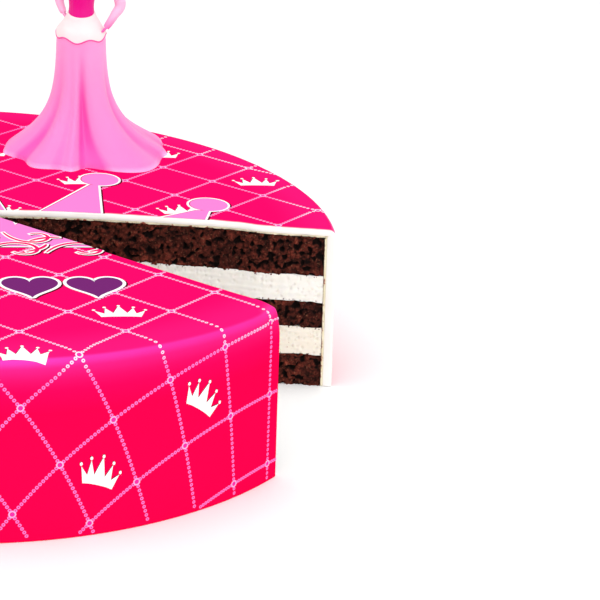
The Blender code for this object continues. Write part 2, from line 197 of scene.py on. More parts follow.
class CakePrint(bpy.types.PropertyGroup):
    cell_width: length("Cell width", "Width of a diamond of the lattice", 0.03456)
    cell_height: length("Cell height", "Height of a diamond of the lattice", 0.03456)
    bead: length("Bead", "Outer diameter of a bead of the chains", 0.00132)
    bead_hole: length("Bead hole", "Diameter of the hole in a bead", 0.00046)
    knot: length("Knot", "Outer diameter of the ring at a crossing", 0.0027)
    knot_band: length("Knot band", "Width of that ring's band", 0.00052)
    beads_a_side: IntProperty(
        name="Beads a side", description="Beads on each side of a diamond", default=14, min=2
    )
    pink: colour("Pink", "Ground colour of the print", (0.97, 0.0030, 0.125))
    # Painted shade: the ground pink darkened towards the foot of the side
    side_shade_pink: colour("Side pink", "Ground colour towards the foot of the side", (0.90, 0.0012, 0.066))
    # Painted highlight: the tint that stands in for the light along the rounded edge
    edge_highlight_pink: colour("Edge pink", "Tint of the light along the rounded edge", (0.95, 0.047, 0.46))
    bead_pink: colour("Bead pink", "Colour of the beads", (0.97, 0.19, 0.58))
    # Painted highlight on the beads and knot rings near the rounded edge and towards the front of the top
    bead_highlight: colour("Bead light", "Colour of the beads near the rounded edge", (0.97, 0.72, 0.86))
    knot_ring: colour("Knot ring", "Colour of a knot's ring", (0.97, 0.42, 0.72))
    knot_pink: colour("Knot pink", "Colour in the middle of a knot", (0.88, 0.03, 0.36))
    pale_pink: colour("Pale pink", "Fill of the big crown", (0.92, 0.215, 0.60))
    white: colour("White", "White of the crowns and outlines", (0.96, 0.94, 0.93))
    scroll: colour("Scroll pink", "Fill of the scroll", (0.84, 0.012, 0.14))
    purple: colour("Purple", "Fill of the hearts", (0.16, 0.02, 0.15))
    shade: colour("Shade", "Drop shade of the ornaments", (0.11, 0.004, 0.02))
    line: colour("Line", "Thin line inside the big crown's outline", (0.55, 0.02, 0.13))
    inside: colour("Inside", "The icing where it is cut", (0.97, 0.94, 0.91))
    inside_dull: colour("Inside, duller", "The icing's duller patches where it is cut", (0.90, 0.84, 0.80))


class CakeCrumb(bpy.types.PropertyGroup):
    grid: length("Grid", "Spacing of the points on the cut sides", 0.00042)
    depth: length("Depth", "Depth of the crumb's relief", 0.0010)
    # Painted shade in the sponge's pores and painted highlights on its brightest grains
    pore_shade: colour("Dark crumb", "Colour in the sponge's pores", (0.0045, 0.0008, 0.0006))
    light: colour("Light crumb", "Colour of the sponge's raised crumbs", (0.25, 0.043, 0.026))
    grain_highlight: colour("Grain", "Colour of the crumb's brightest grains", (0.52, 0.24, 0.13))
    cream: colour("Cream", "Colour of the cream", (0.98, 0.935, 0.87))
    cream_low: colour("Lower cream", "Colour of the lower cream", (0.931, 0.85085, 0.7395))
    butter: colour("Butter", "Colour of the butter coat", (0.88, 0.77, 0.50))
    butter_pale: colour("Pale butter", "Colour of the coat's paler patches", (0.93, 0.87, 0.70))


class CakeFigure(bpy.types.PropertyGroup):
    gown: colour("Gown", "Colour of the gown's lower part", (0.97, 0.225, 0.585))
    gown_high: colour("Gown at the hips", "Colour of the gown's upper part", (0.97, 0.37, 0.71))
    # Painted light on the rounded hem
    gown_hem_light: colour("Gown hem", "Colour of the gown's rounded hem", (0.97, 0.42, 0.80))
    # Painted shade deep in the gown's folds, also used towards the sleeves' wrists
    gown_fold_shade: colour("Gown folds", "Colour deep in the gown's folds", (0.93, 0.07, 0.46))
    sleeve: colour("Sleeves", "Colour of the sleeves", (0.93, 0.52, 0.74))
    sash: colour("Sash", "Colour of the sash", (0.90, 0.80, 0.79))
    bodice: colour("Bodice", "Colour of the bodice", (0.74, 0.003, 0.26))
    skin: colour("Skin", "Colour of the skin", (0.87, 0.50, 0.36))
    hair: colour("Hair", "Colour of the hair", (0.19, 0.07, 0.028))
    tiara: colour("Tiara", "Colour of the tiara", (0.85, 0.60, 0.20))
    gem: colour("Gem", "Colour of the tiara's gem", (0.80, 0.02, 0.25))
    seam: colour("Seam", "Colour of the seam under the sash", (0.86, 0.08, 0.38))
    eye_white: colour("Eye white", "Colour of the whites of the eyes", (0.86, 0.84, 0.82))
    iris: colour("Iris", "Colour of the irises", (0.10, 0.045, 0.02))
    pupil: colour("Pupil", "Colour of the pupils", (0.01, 0.008, 0.008))
    glint: colour("Glint", "Colour of the eyes' glints", (0.95, 0.95, 0.95))
    lash: colour("Lashes", "Colour of the lashes", (0.03, 0.012, 0.008))
    brow: colour("Brows", "Colour of the brows", (0.10, 0.04, 0.018))
    lips: colour("Lips", "Colour of the lips", (0.72, 0.10, 0.14))


class CakeStage(bpy.types.PropertyGroup):
    floor: colour("Floor", "Colour of the floor", (0.99, 0.99, 0.99))
    lens: FloatProperty(name="Lens", description="Focal length in mm on a 36 mm sensor", default=134.24)
    sky: FloatProperty(name="Surroundings", description="Strength of the white surroundings", default=0.92)
    key: FloatProperty(name="Key light", description="Power of the overhead light", default=5.0, unit="POWER")
    fill: FloatProperty(name="Fill light", description="Power of the front light", default=4.0, unit="POWER")


# Plain helpers


def smooth_step(value):
    value = np.clip(value, 0.0, 1.0)
    return value * value * (3 - 2 * value)


def new_object(name, mesh, material):
    thing = bpy.data.objects.new(name, mesh)
    thing.data.materials.append(material)
    bpy.context.scene.collection.objects.link(thing)
    return thing


def new_mesh(name, verts, faces=(), **attributes):
    """A mesh, with attributes that have one number for each point."""
    mesh = bpy.data.meshes.new(name)
    mesh.from_pydata([tuple(v) for v in verts], [], faces)
    for label, values in attributes.items():
        mesh.attributes.new(label, "FLOAT", "POINT").data.foreach_set("value", values)
    return mesh


def mesh_object(name, verts, faces, material):
    mesh = new_mesh(name, verts, faces)
    finish_mesh(mesh)
    return new_object(name, mesh, material)


def finish_mesh(mesh, sharp_angle=50, split=False):
    """Turns the faces outwards and shades them smooth. split cuts the many-cornered ones up first."""
    bm = bmesh.new()
    bm.from_mesh(mesh)
    if split:
        bmesh.ops.triangulate(bm, faces=[f for f in bm.faces if len(f.verts) > 4])
    bmesh.ops.recalc_face_normals(bm, faces=bm.faces)
    bm.to_mesh(mesh)
    bm.free()
    mesh.shade_smooth()
    mesh.set_sharp_from_angle(angle=math.radians(sharp_angle))


def dress(piece, slot, *nodes):
    """Every piece rides on the one body and may stand for CAD nodes, which it hides. Its slot is not used."""
    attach(piece, "root")
    if nodes:
        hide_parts(*nodes)
    return piece


# Materials


def shader_inputs(material):
    return material.node_tree.nodes["Principled BSDF"].inputs


def make_material(name, base, roughness, specular=0.5, coat=0.0, metallic=0.0):
    """A new material, with every plain value on the shader's own sockets."""
    material = bpy.data.materials.new(name)
    material.use_nodes = True
    sockets = shader_inputs(material)
    sockets["Base Color"].default_value = (*base, 1)
    sockets["Roughness"].default_value = roughness
    sockets["Specular IOR Level"].default_value = specular
    sockets["Coat Weight"].default_value = coat
    sockets["Metallic"].default_value = metallic
    return material


def set_subsurface(material, weight, radius, scale):
    sockets = shader_inputs(material)
    sockets["Subsurface Weight"].default_value = weight
    sockets["Subsurface Radius"].default_value = radius
    sockets["Subsurface Scale"].default_value = scale


def painted(material, base):
    """The material, its colour taken from a socket."""
    join(material, base, shader_inputs(material)["Base Color"])
    return material


# The next helpers take a material or a node group as their owner


def tree_of(owner):
    return owner if isinstance(owner, bpy.types.NodeTree) else owner.node_tree


def add_node(owner, kind, **values):
    node = tree_of(owner).nodes.new(kind)
    for name, value in values.items():
        setattr(node, name, value)
    return node


def join(owner, source, target):
    tree_of(owner).links.new(source, target)


def feed(owner, socket, value):
    """Gives a socket a number, a colour or another socket's value."""
    if isinstance(value, bpy.types.NodeSocket):
        join(owner, value, socket)
    else:
        socket.default_value = value if isinstance(value, (int, float)) else (*value, 1)


def math_node(owner, operation, first, second, clamp=False):
    node = add_node(owner, "ShaderNodeMath", operation=operation, use_clamp=clamp)
    feed(owner, node.inputs[0], first)
    feed(owner, node.inputs[1], second)
    return node.outputs[0]


def times(owner, first, second, clamp=False):
    return math_node(owner, "MULTIPLY", first, second, clamp)


def plus(owner, first, second, clamp=False):
    return math_node(owner, "ADD", first, second, clamp)


def map_range(owner, value, start, end, smooth=False):
    """0 at start and 1 at end, and held beyond them."""
    kind = "SMOOTHSTEP" if smooth else "LINEAR"
    node = add_node(owner, "ShaderNodeMapRange", interpolation_type=kind)
    node.inputs["From Min"].default_value = start
    node.inputs["From Max"].default_value = end
    join(owner, value, node.inputs["Value"])
    return node.outputs["Result"]


def mix_colour(owner, factor, first, second):
    node = add_node(owner, "ShaderNodeMix", data_type="RGBA")
    for number, value in ((0, factor), (6, first), (7, second)):
        feed(owner, node.inputs[number], value)
    return node.outputs[2]


def attribute_of(owner, name):
    return add_node(owner, "ShaderNodeAttribute", attribute_name=name).outputs["Fac"]


def object_place(owner):
    """The object's own coordinates."""
    return add_node(owner, "ShaderNodeTexCoord").outputs["Object"]


def parts_of(owner, place):
    parts = add_node(owner, "ShaderNodeSeparateXYZ")
    join(owner, place, parts.inputs[0])
    return parts.outputs


def noise_node(owner, scale, detail=3.0, roughness=0.55):
    node = add_node(owner, "ShaderNodeTexNoise")
    node.inputs["Scale"].default_value = scale
    node.inputs["Detail"].default_value = detail
    node.inputs["Roughness"].default_value = roughness
    join(owner, object_place(owner), node.inputs["Vector"])
    return node.outputs["Fac"]


def scaled(colour_value, factor):
    return tuple(part * factor for part in colour_value)


# The cake's form


def cut_heading(which):
    angle = (FAR_CUT, NEAR_CUT)[which]
    return Vector((math.cos(angle), math.sin(angle)))


def cut_normal(which):
    """The level direction from a cut into the gap."""
    heading = cut_heading(which)
    return Vector((heading.y, -heading.x)) if which == FAR else Vector((-heading.y, heading.x))


def bow(which, along):
    """How far a cut bows back into the cake at a distance along it from the wedge's point."""
    return np.interp(np.asarray(along) / MM, *zip(*CUT_BOWS[which])) * MM


def on_circle(start, heading, radius):
    """Where a line from start along heading leaves the circle of that radius about the cake's axis."""
    along = start.dot(heading)
    return start + heading * (math.sqrt(along**2 + radius**2 - start.length_squared) - along)


def in_gap(x, y, margins):
    """Whether a place lies in the cut wedge, or nearer to one of its cuts than that cut's margin."""
    px, py = x - WEDGE_POINT.x, y - WEDGE_POINT.y
    beyond = []
    for which in (FAR, NEAR):
        heading, across = cut_heading(which), cut_normal(which)
        back = bow(which, px * heading.x + py * heading.y)
        beyond.append(px * across.x + py * across.y > -margins[which] - back)
    return beyond[0] & beyond[1]


def swell(x, y, z):
    """How far the hand-smoothed icing stands off its even form, in metres."""
    turn = np.arctan2(y, x)
    heading, across = cut_heading(NEAR), cut_normal(NEAR)
    px, py = x - WEDGE_POINT.x, y - WEDGE_POINT.y
    from_cut, from_rim = px * across.x + py * across.y, np.hypot(x, y) - cake().radius
    from_edge = z - cake().height + 1.5 * MM
    spread = (from_cut / (7 * MM)) ** 2 + (from_rim / (5 * MM)) ** 2 + (from_edge / (5 * MM)) ** 2
    sunk = np.exp(-spread) * (px * heading.x + py * heading.y > 0)
    waves = 0.45 * np.sin(5 * turn + 0.6) + 0.35 * np.sin(9 * turn + z / (11 * MM) + 1.9)
    waves = waves + 0.30 * np.sin(x / (17 * MM) + 0.4) * np.cos(y / (21 * MM) + 1.1)
    waves = waves * smooth_step((np.hypot(x, y) - 14 * MM) / (18 * MM))
    return cake().swell * (waves - 1.0) * 0.5 - cake().corner_sag * sunk


def side_lean():
    """How far the side leans from upright, in radians."""
    return math.atan2(cake().foot - cake().radius, cake().height)


def bend(inset=0.0):
    """The rounded edge at a depth under the icing's surface: its start, its radius and its turn."""
    lean = side_lean()
    edge = max(cake().edge_radius - inset, 0.6 * MM)
    rim = cake().radius - inset + (inset + edge * (1 - math.sin(lean))) * math.tan(lean)
    return rim - edge * math.cos(lean), edge, math.pi / 2 - lean


def wall_length(inset=0.0):
    """The length of the side down its slope, from the rounded edge to the foot."""
    edge, most = bend(inset)[1:]
    return (cake().height - inset - edge * (1 - math.cos(most))) / math.sin(most)


def skin_profile(reach, inset=0.0):
    """The icing's outer form: radius, height and slope at a distance over its surface."""
    start, edge, most = bend(inset)
    turn = np.clip((reach - start) / edge, 0.0, most)
    down = np.maximum(reach - start - edge * most, 0.0)
    out = np.minimum(reach, start) + edge * np.sin(turn) + down * math.cos(most)
    return out, cake().height - inset - edge + edge * np.cos(turn) - down * math.sin(most), turn


def drawn_over(reach, turn):
    """The distance over the icing's surface at a distance on the flat sheet, which was drawn out
    over the edge, further down at the front, and hangs a little longer down the side."""
    start, edge, most = bend()
    late = cake().drawn_late * np.exp(-(((np.degrees(turn) + 88.5) / 8.3) ** 4))
    reach = reach + cake().drawn * np.clip((reach - start - late + 4.1 * MM) / (6.9 * MM), 0.0, 1.0)
    return reach + (cake().hang - 1) * np.maximum(reach - start - edge * most, 0.0)


def wrap(x, y, lift):
    """Lays places of the flat printed sheet on the cake, lift above the icing."""
    x, y = np.asarray(x, float), np.asarray(y, float)
    turn = np.arctan2(y, x)
    reach = drawn_over(np.hypot(x, y), turn)
    out, z, slope = skin_profile(reach)
    across = np.stack([np.sin(slope) * np.cos(turn), np.sin(slope) * np.sin(turn), np.cos(slope)], -1)
    place = np.stack([out * np.cos(turn), out * np.sin(turn), z], -1)
    stand = lift + swell(place[..., 0], place[..., 1], place[..., 2])
    return place + across * np.asarray(stand)[..., None], across


def sheet_reach():
    """The flat sheet's radius, from the middle of the top to the foot of the side."""
    start, edge, most = bend()
    return start + edge * most - cake().drawn + wall_length() / cake().hang


def shell_columns(radius, offsets, count):
    """Places on the circle of that radius, from the far cut to the near one: some at small offsets
    from each cut, and count spread evenly between."""
    ends = []
    for which in (FAR, NEAR):
        heading, away = cut_heading(which), -cut_normal(which)
        row = []
        for d in offsets:
            place = on_circle(WEDGE_POINT + away * d, heading, radius)
            place = place + away * float(bow(which, (place - WEDGE_POINT).dot(heading)))
            row.append(place.normalized() * radius)
        ends.append(row)
    first = math.atan2(ends[0][-1].y, ends[0][-1].x)
    last = math.atan2(ends[1][-1].y, ends[1][-1].x)
    if last < first:
        last += 2 * math.pi
    between = [
        Vector((math.cos(a), math.sin(a))) * radius for a in np.linspace(first, last, count + 2)[1:-1]
    ]
    return ends[0] + between + ends[1][::-1]


def pressed_down(offset, rounding):
    """How far the surface sinks at a distance from a cut that was pressed round."""
    rest = max(rounding - offset, 0.0)
    return rounding - math.sqrt(max(rounding**2 - rest**2, 0.0))


def shell_reaches(depth, step):
    """The distances over the surface at which a shell has its rows of points."""
    start, edge, most = bend(depth)
    on_top = start * np.array([0.08, 0.1, *np.linspace(0.125, 1.0, int(cake().radius / step))])
    on_edge = start + edge * most * np.linspace(0, 1, 13)[1:]
    down = np.linspace(0, 1, int(cake().height / step) + 2)[1:] * (wall_length(depth) - 0.2 * MM)
    return np.concatenate([on_top, on_edge, start + edge * most + down])


def make_shell(name, material, inset, tuck, top, side, step, columns, cut_relief, swells):
    """A cover over the top and side with its two cut faces. inset is its distance under the icing's
    top, tuck how much further in it lies at the side, and cut_relief moves the cut faces' points."""
    offsets = [d * MM for d in CUT_OFFSETS]
    from_far = [*CUT_OFFSETS] + [FAR_FROM_CUT] * (columns + len(offsets))
    drops = [pressed_down(d, cake().cut_round if swells else 0.0) for d in offsets]
    drops = drops + [0.0] * columns + drops[::-1]
    verts, skins, printed_far, printed_near, across = [], [], [], [], []
    for depth, is_outer in ((inset, True), (inset + top, False)):
        apex = Vector((*WEDGE_POINT, cake().height - depth - (drops[0] if is_outer else 0.0)))
        skin = [[len(verts)]]
        verts.append(apex)
        printed_far.append(0.0)
        printed_near.append(0.0)
        across.append(0.0 if is_outer else 1.0)
        for reach in shell_reaches(depth, step):
            out, z, slope = (float(v) for v in skin_profile(reach, depth))
            out -= (tuck if is_outer else tuck + side - top) * math.sin(slope)
            row = []
            for place, fall in zip(shell_columns(out, offsets, columns), drops):
                side_way = Vector((place.x, place.y)).normalized()
                base = Vector((*place, z))
                if is_outer:
                    lift = float(swell(*base)) - fall if swells else 0.0
                    base = base + Vector((*(side_way * math.sin(slope)), math.cos(slope))) * lift
                row.append(len(verts))
                verts.append(base)
            skin.append(row)
            printed_far += from_far if is_outer else [-1.0] * len(row)
            printed_near += from_far[::-1] if is_outer else [-1.0] * len(row)
            across += [across[-1]] * len(row)
        skins.append(skin)
    outer, inner = skins
    faces = []
    for skin, flip in ((outer, False), (inner, True)):
        for first, second in zip(skin, skin[1:]):
            for i in range(len(second) - 1):
                if len(first) == 1:
                    corners = (first[0], second[i + 1], second[i])
                else:
                    corners = (first[i], first[i + 1], second[i + 1], second[i])
                faces.append(corners[::-1] if flip else corners)
    for i in range(len(outer[-1]) - 1):
        faces.append((outer[-1][i], outer[-1][i + 1], inner[-1][i + 1], inner[-1][i]))
    apex_line = None
    for which in (FAR, NEAR):
        rows = []
        for a, b in zip(outer, inner):
            first, last = (a[0], b[0]) if which == FAR else (a[-1], b[-1])
            if len(a) == 1 and apex_line:
                rows.append(apex_line)
                continue
            row = [first]
            for k in range(1, CUT_STEPS):
                row.append(len(verts))
                across.append(k / CUT_STEPS)
                verts.append(Vector(verts[first]).lerp(verts[last], k / CUT_STEPS))
            rows.append(row + [last])
            if len(a) == 1:
                apex_line = rows[-1]
        for first, second in zip(rows, rows[1:]):
            for k in range(CUT_STEPS):
                faces.append((first[k], first[k + 1], second[k + 1], second[k]))
        out_way = Vector((*cut_normal(which), 0))
        for row in rows[1:]:
            for k, index in enumerate(row):
                verts[index] = verts[index] + out_way * cut_relief(verts[index], k / CUT_STEPS)
    unprinted = [-1.0] * (len(verts) - len(printed_far))
    mesh = new_mesh(
        name, verts, faces,
        from_far_cut=printed_far + unprinted, from_near_cut=printed_near + unprinted, across=across,
    )
    finish_mesh(mesh)
    return new_object(name, mesh, material)


# The cut sides of the sponges and creams


def sponge_relief(place):
    """Height of the torn crumb at a place, in parts of its depth, about -1 to 1."""
    jolt = noise.noise_vector(place / (1.7 * MM)) * (0.5 * MM)
    clumps = noise.voronoi((place + jolt) / (1.6 * MM))[0]
    grains = noise.voronoi((place + jolt) / (0.8 * MM))[0]
    broad = noise.noise(place / (6 * MM))
    fine = noise.noise(place / (0.7 * MM))
    pit = smooth_step((noise.noise((place + jolt) / (2.1 * MM) + Vector((9, 4, 2))) - 0.12) / 0.30)
    return 0.62 - 1.1 * clumps[0] - 0.75 * grains[0] + 0.35 * broad + 0.25 * fine - 1.1 * float(pit)


def cream_relief(place):
    drag = Vector((place.x / (9 * MM), place.y / (9 * MM), place.z / (1.1 * MM)))
    pore = smooth_step((noise.noise(place / (0.9 * MM)) - 0.34) / 0.2)
    return 0.22 * noise.noise(drag) + 0.16 * noise.noise(place / (2.2 * MM)) - 0.55 * float(pore) - 0.1


def layer_borders():
    """Heights of the borders of the layers, from the table to the butter coat."""
    boxes = [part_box(name) for name in LAYERS]
    between = [(below[1].z + above[0].z) / 2 for below, above in zip(boxes, boxes[1:])]
    return [0.0, *between, cake().height - cake().icing_top - cake().coat - 0.1 * MM]


def border_wave(number, place):
    """The uneven border above a layer, as spread by hand."""
    turn = 1.7 * number
    x, y = place.x, place.y
    broad = math.sin(x / (31 * MM) + turn) * math.cos(y / (27 * MM) - 2 * turn)
    fine = math.sin((x - y) / (13 * MM) + 3 * turn)
    torn = noise.noise(Vector((x / (4.2 * MM), y / (4.2 * MM), 5.0 * number)))
    return (0.49 * broad + 0.21 * fine + 0.55 * torn) * MM


def make_layer(name, number, low, high, relief, overlap, material):
    """One sponge or cream: both cut sides as fine relief, closed by plain hidden faces."""
    sizes, step = cake(), crumb().grid
    rim = sizes.radius - sizes.icing_side - sizes.coat - 0.25 * MM
    rows = max(int((high - low) / step), 4)

    def radius_at(z):
        return rim + (sizes.height - z) * math.tan(side_lean())

    def heights(place, count):
        bottom = low if number == 0 else low + border_wave(number - 1, place) - overlap
        top = high if number == len(LAYERS) - 1 else high + border_wave(number, place) + overlap
        return [bottom + (top - bottom) * k / count for k in range(count + 1)]

    verts = [Vector((*WEDGE_POINT, z)) for z in heights(WEDGE_POINT, rows)]
    apex, levels = list(range(len(verts))), [0.0] * len(verts)
    walls, faces = [], []
    for which in (FAR, NEAR):
        heading, out_way = cut_heading(which), cut_normal(which)
        ends = [on_circle(WEDGE_POINT, heading, radius_at(z)) for z in (low, high)]
        columns = int((ends[0] - WEDGE_POINT).length / step)
        wall = [apex]
        for i in range(1, columns + 1):
            foot, head = (WEDGE_POINT.lerp(end, i / columns) for end in ends)
            back_way = out_way * -float(bow(which, (foot - WEDGE_POINT).length))
            fade = min(i / 4, 1.0)
            wall.append(list(range(len(verts), len(verts) + rows + 1)))
            for k, z in enumerate(heights(foot, rows)):
                spot = Vector((*(foot.lerp(head, k / rows) + back_way), z))
                levels.append(relief(spot))
                verts.append(spot + Vector((*out_way, 0)) * (levels[-1] * crumb().depth * fade))
        walls.append(wall)
        for i in range(columns):
            for k in range(rows):
                faces.append((wall[i][k], wall[i + 1][k], wall[i + 1][k + 1], wall[i][k + 1]))
    first, last = (verts[walls[which][-1][0]] for which in (FAR, NEAR))
    start = math.atan2(first.y, first.x)
    end = math.atan2(last.y, last.x) % (2 * math.pi)
    back = []
    for angle in np.linspace(start, end, 62)[1:-1]:
        way = Vector((math.cos(angle), math.sin(angle)))
        bottom, top = heights(way * rim, 1)
        back.append((len(verts), len(verts) + 1))
        verts += [Vector((*(way * radius_at(low)), bottom)), Vector((*(way * radius_at(high)), top))]
        levels += [0.0, 0.0]
    for a, b in zip(back, back[1:]):
        faces.append((a[0], b[0], b[1], a[1]))
    far_end, near_end = walls[FAR][-1], walls[NEAR][-1]
    faces.append((*far_end[::-1], back[0][0], back[0][1]))
    faces.append((*near_end, back[-1][1], back[-1][0]))
    for level_end, back_end in ((0, 0), (-1, 1)):
        loop = [column[level_end] for column in walls[FAR]]
        loop += [pair[back_end] for pair in back]
        loop += [column[level_end] for column in walls[NEAR][:0:-1]]
        faces.append(tuple(loop))
    mesh = new_mesh(name, verts, faces, crumb=levels)
    finish_mesh(mesh, 70, split=True)
    return new_object(name, mesh, material)


def sponge_material():
    settings = crumb()
    material = make_material("Chocolate sponge", settings.light, 0.85, specular=0.12)
    # Painted shade: darker where the crumb's relief lies deep, varied by patches of random tone
    height = map_range(material, attribute_of(material, "crumb"), -0.95, 0.45)
    patches = map_range(material, noise_node(material, 420.0, 4.0, 0.7), 0.36, 0.66)
    broad = map_range(material, noise_node(material, 55.0, 2.0), 0.2, 0.62)
    tone = times(material, height, plus(material, patches, 0.10))
    tone = times(material, tone, plus(material, broad, 0.25), clamp=True)
    base = mix_colour(material, tone, settings.pore_shade, settings.light)
    # Painted highlights on the raised grains
    grains = map_range(material, noise_node(material, 1300.0, 2.0), 0.60, 0.72)
    grains = times(material, times(material, grains, height), 0.55)
    return painted(material, mix_colour(material, grains, base, settings.grain_highlight))


def cream_material(name, tint, limit):
    """Cream with faint brown specks of crumb. A lower limit lets more through."""
    material = make_material(name, tint, 0.5, specular=0.4)
    set_subsurface(material, 0.25, (0.004, 0.003, 0.002), 0.3)
    spots = math_node(material, "SUBTRACT", noise_node(material, 900.0, 2.0), limit)
    spots = times(material, times(material, spots, 9.0, clamp=True), 0.75)
    tone = mix_colour(material, noise_node(material, 70.0, 2.0), tint, scaled(tint, 0.93))
    return painted(material, mix_colour(material, spots, tone, scaled(crumb().light, 1.4)))


class CAKE_OT_filling(bpy.types.Operator):
    """Makes the sponges and creams with their cut sides"""

    bl_idname = "cake.filling"
    bl_label = "Sponges and creams"

    def execute(self, context):
        noise.seed_set(CRUMB_SEED)
        borders = layer_borders()
        sponge = sponge_material()
        upper = cream_material("Cream filling", crumb().cream, 0.72)
        lower = cream_material("Cream filling with crumbs", crumb().cream_low, 0.66)
        for number, name in enumerate(LAYERS):
            if "sponge" in name:
                slot, material, relief, overlap = "sponge", sponge, sponge_relief, 0.0
            else:
                tint = lower if name == "cream_lower" else upper
                slot, material, relief, overlap = "cream", tint, cream_relief, 0.5 * MM
            low, high = borders[number : number + 2]
            dress(make_layer(name + "_cut", number, low, high, relief, overlap, material), slot, name)
        return {"FINISHED"}


# The icing and the coat under it


def painted_edge_highlight_group():
    """A node group for how much painted highlight along the rounded edge tints a place in the object."""
    name = "Glow along the edge"
    if name in bpy.data.node_groups:
        return bpy.data.node_groups[name]
    low, high, rim = cake().height - cake().edge_radius, cake().height, cake().radius
    group = bpy.data.node_groups.new(name, "ShaderNodeTree")
    group.interface.new_socket("Place", in_out="INPUT", socket_type="NodeSocketVector")
    for label in ("Wide", "Streak"):
        group.interface.new_socket(label, in_out="OUTPUT", socket_type="NodeSocketFloat")
    place, outlet = add_node(group, "NodeGroupInput").outputs[0], add_node(group, "NodeGroupOutput")
    flat = add_node(group, "ShaderNodeVectorMath", operation="MULTIPLY")
    flat.inputs[1].default_value = (1, 1, 0)
    join(group, place, flat.inputs[0])
    reach = add_node(group, "ShaderNodeVectorMath", operation="LENGTH")
    join(group, flat.outputs[0], reach.inputs[0])
    parts = parts_of(group, place)

    def ramp(source, start, end):
        return map_range(group, source, start, end, smooth=True)

    height = parts["Z"]
    near_rim = ramp(reach.outputs["Value"], rim - 24 * MM, rim - 4 * MM)
    wide = times(group, ramp(height, low - 5 * MM, low + 1.5 * MM), near_rim)
    sharp = times(group, ramp(height, low - 0.8 * MM, low + 2.2 * MM), 0.68)
    tail = times(group, ramp(height, low - 9 * MM, low + 2.2 * MM), 0.32)
    below = times(group, plus(group, sharp, tail), ramp(height, high - 0.28 * MM, high - 1.0 * MM))
    # Painted highlight, stronger towards -X, where the light falls on the edge
    lit = plus(group, times(group, ramp(parts["X"], 100 * MM, -30 * MM), 0.55), 0.45)
    join(group, wide, outlet.inputs["Wide"])
    join(group, times(group, below, lit), outlet.inputs["Streak"])
    return group


def painted_edge_highlight(material):
    """The wide tint and the narrow streak of painted highlight along the rounded edge."""
    node = add_node(material, "ShaderNodeGroup", node_tree=painted_edge_highlight_group())
    join(material, object_place(material), node.inputs[0])
    return node.outputs[0], node.outputs[1]


def icing_material():
    """Printed pink outside, with painted shade down the side and a painted highlight along the rounded edge,
    white where it is cut, with the print fading at the pressed far cut.
    """
    settings = printed()
    material = make_material("Printed icing", settings.pink, 0.38, specular=0.0)
    shader_inputs(material)["Specular Tint"].default_value = (1.0, 0.08, 1.0, 1)
    height = parts_of(material, object_place(material))["Z"]
    # Painted shade: the pink darkens down the side towards the foot
    fall = map_range(material, height, cake().height - 1 * MM, cake().height - 19 * MM)
    ground_with_painted_light = mix_colour(material, fall, settings.pink, settings.side_shade_pink)
    # Painted highlight along the rounded edge, mixed into the base colour; the streak also raises the real
    # gloss there
    wide, streak = painted_edge_highlight(material)
    patches = plus(material, noise_node(material, 26.0, 2.0), 0.50)
    streak = times(material, times(material, streak, patches), 0.82)
    highlight_mix = plus(material, times(material, wide, 0.13), streak, clamp=True)
    ground_with_painted_light = mix_colour(material, highlight_mix, ground_with_painted_light, settings.edge_highlight_pink)
    wander = times(material, math_node(material, "SUBTRACT", noise_node(material, 160.0), 0.5), 0.9)
    far = plus(material, attribute_of(material, "from_far_cut"), wander)
    far = map_range(material, far, 0.45, 1.9)
    near = map_range(material, attribute_of(material, "from_near_cut"), -0.3, 0.0)
    inside = mix_colour(material, noise_node(material, 90.0), settings.inside_dull, settings.inside)
    join(material, times(material, streak, 0.12), shader_inputs(material)["Specular IOR Level"])
    return painted(material, mix_colour(material, times(material, far, near), inside, ground_with_painted_light))


def butter_material():
    """Pale butter cream, with more crumbs in it towards the sponge."""
    settings = crumb()
    material = make_material("Butter coat", settings.butter, 0.5, specular=0.4)
    inwards = map_range(material, attribute_of(material, "across"), 0.2, 1.0)
    spots = math_node(material, "SUBTRACT", noise_node(material, 620.0, 3.0), 0.64)
    spots = times(material, plus(material, spots, times(material, inwards, 0.17)), 9.0, clamp=True)
    tone = mix_colour(material, noise_node(material, 120.0), settings.butter_pale, settings.butter)
    return painted(material, mix_colour(material, spots, tone, scaled(settings.light, 1.5)))


def icing_cut_relief(place, across):
    """The icing's cut face: dragged lightly by the knife, fuller in the middle of its thickness."""
    belly = 0.16 * MM * math.sin(math.pi * across)
    wander = noise.noise(place / (9 * MM)) * 0.45 + noise.noise(place / (3 * MM)) * 0.22
    return belly + wander * MM * 0.7


def coat_cut_relief(place, across):
    torn = noise.noise(place / (1.6 * MM)) * 0.45 + noise.noise(place / (4 * MM)) * 0.35
    return (torn - 0.25 * across) * MM


class CAKE_OT_icing(bpy.types.Operator):
    """Makes the rolled icing and the butter coat under it"""

    bl_idname = "cake.icing"
    bl_label = "Icing"

    def execute(self, context):
        sizes = cake()
        icing = make_shell(
            "icing_sheet", icing_material(), inset=0.0, tuck=0.0, top=sizes.icing_top, side=sizes.icing_side,
            step=2.0 * MM, columns=300, cut_relief=icing_cut_relief, swells=True,
        )
        dress(icing, "icing", "icing")
        coat = make_shell(
            "butter_coat_cut", butter_material(), inset=sizes.icing_top + 0.05 * MM,
            tuck=sizes.icing_side - sizes.icing_top, top=sizes.coat, side=sizes.coat,
            step=0.7 * MM, columns=40, cut_relief=coat_cut_relief, swells=False,
        )
        dress(coat, "buttercream", "butter_coat")
        return {"FINISHED"}


# The print, laid on the icing as thin closed bodies


def mirrored(half):
    """The whole loop of a shape given by its right half, from the bottom up."""
    return [*half, *[(-x, y) for x, y in reversed(half) if x > 0]]


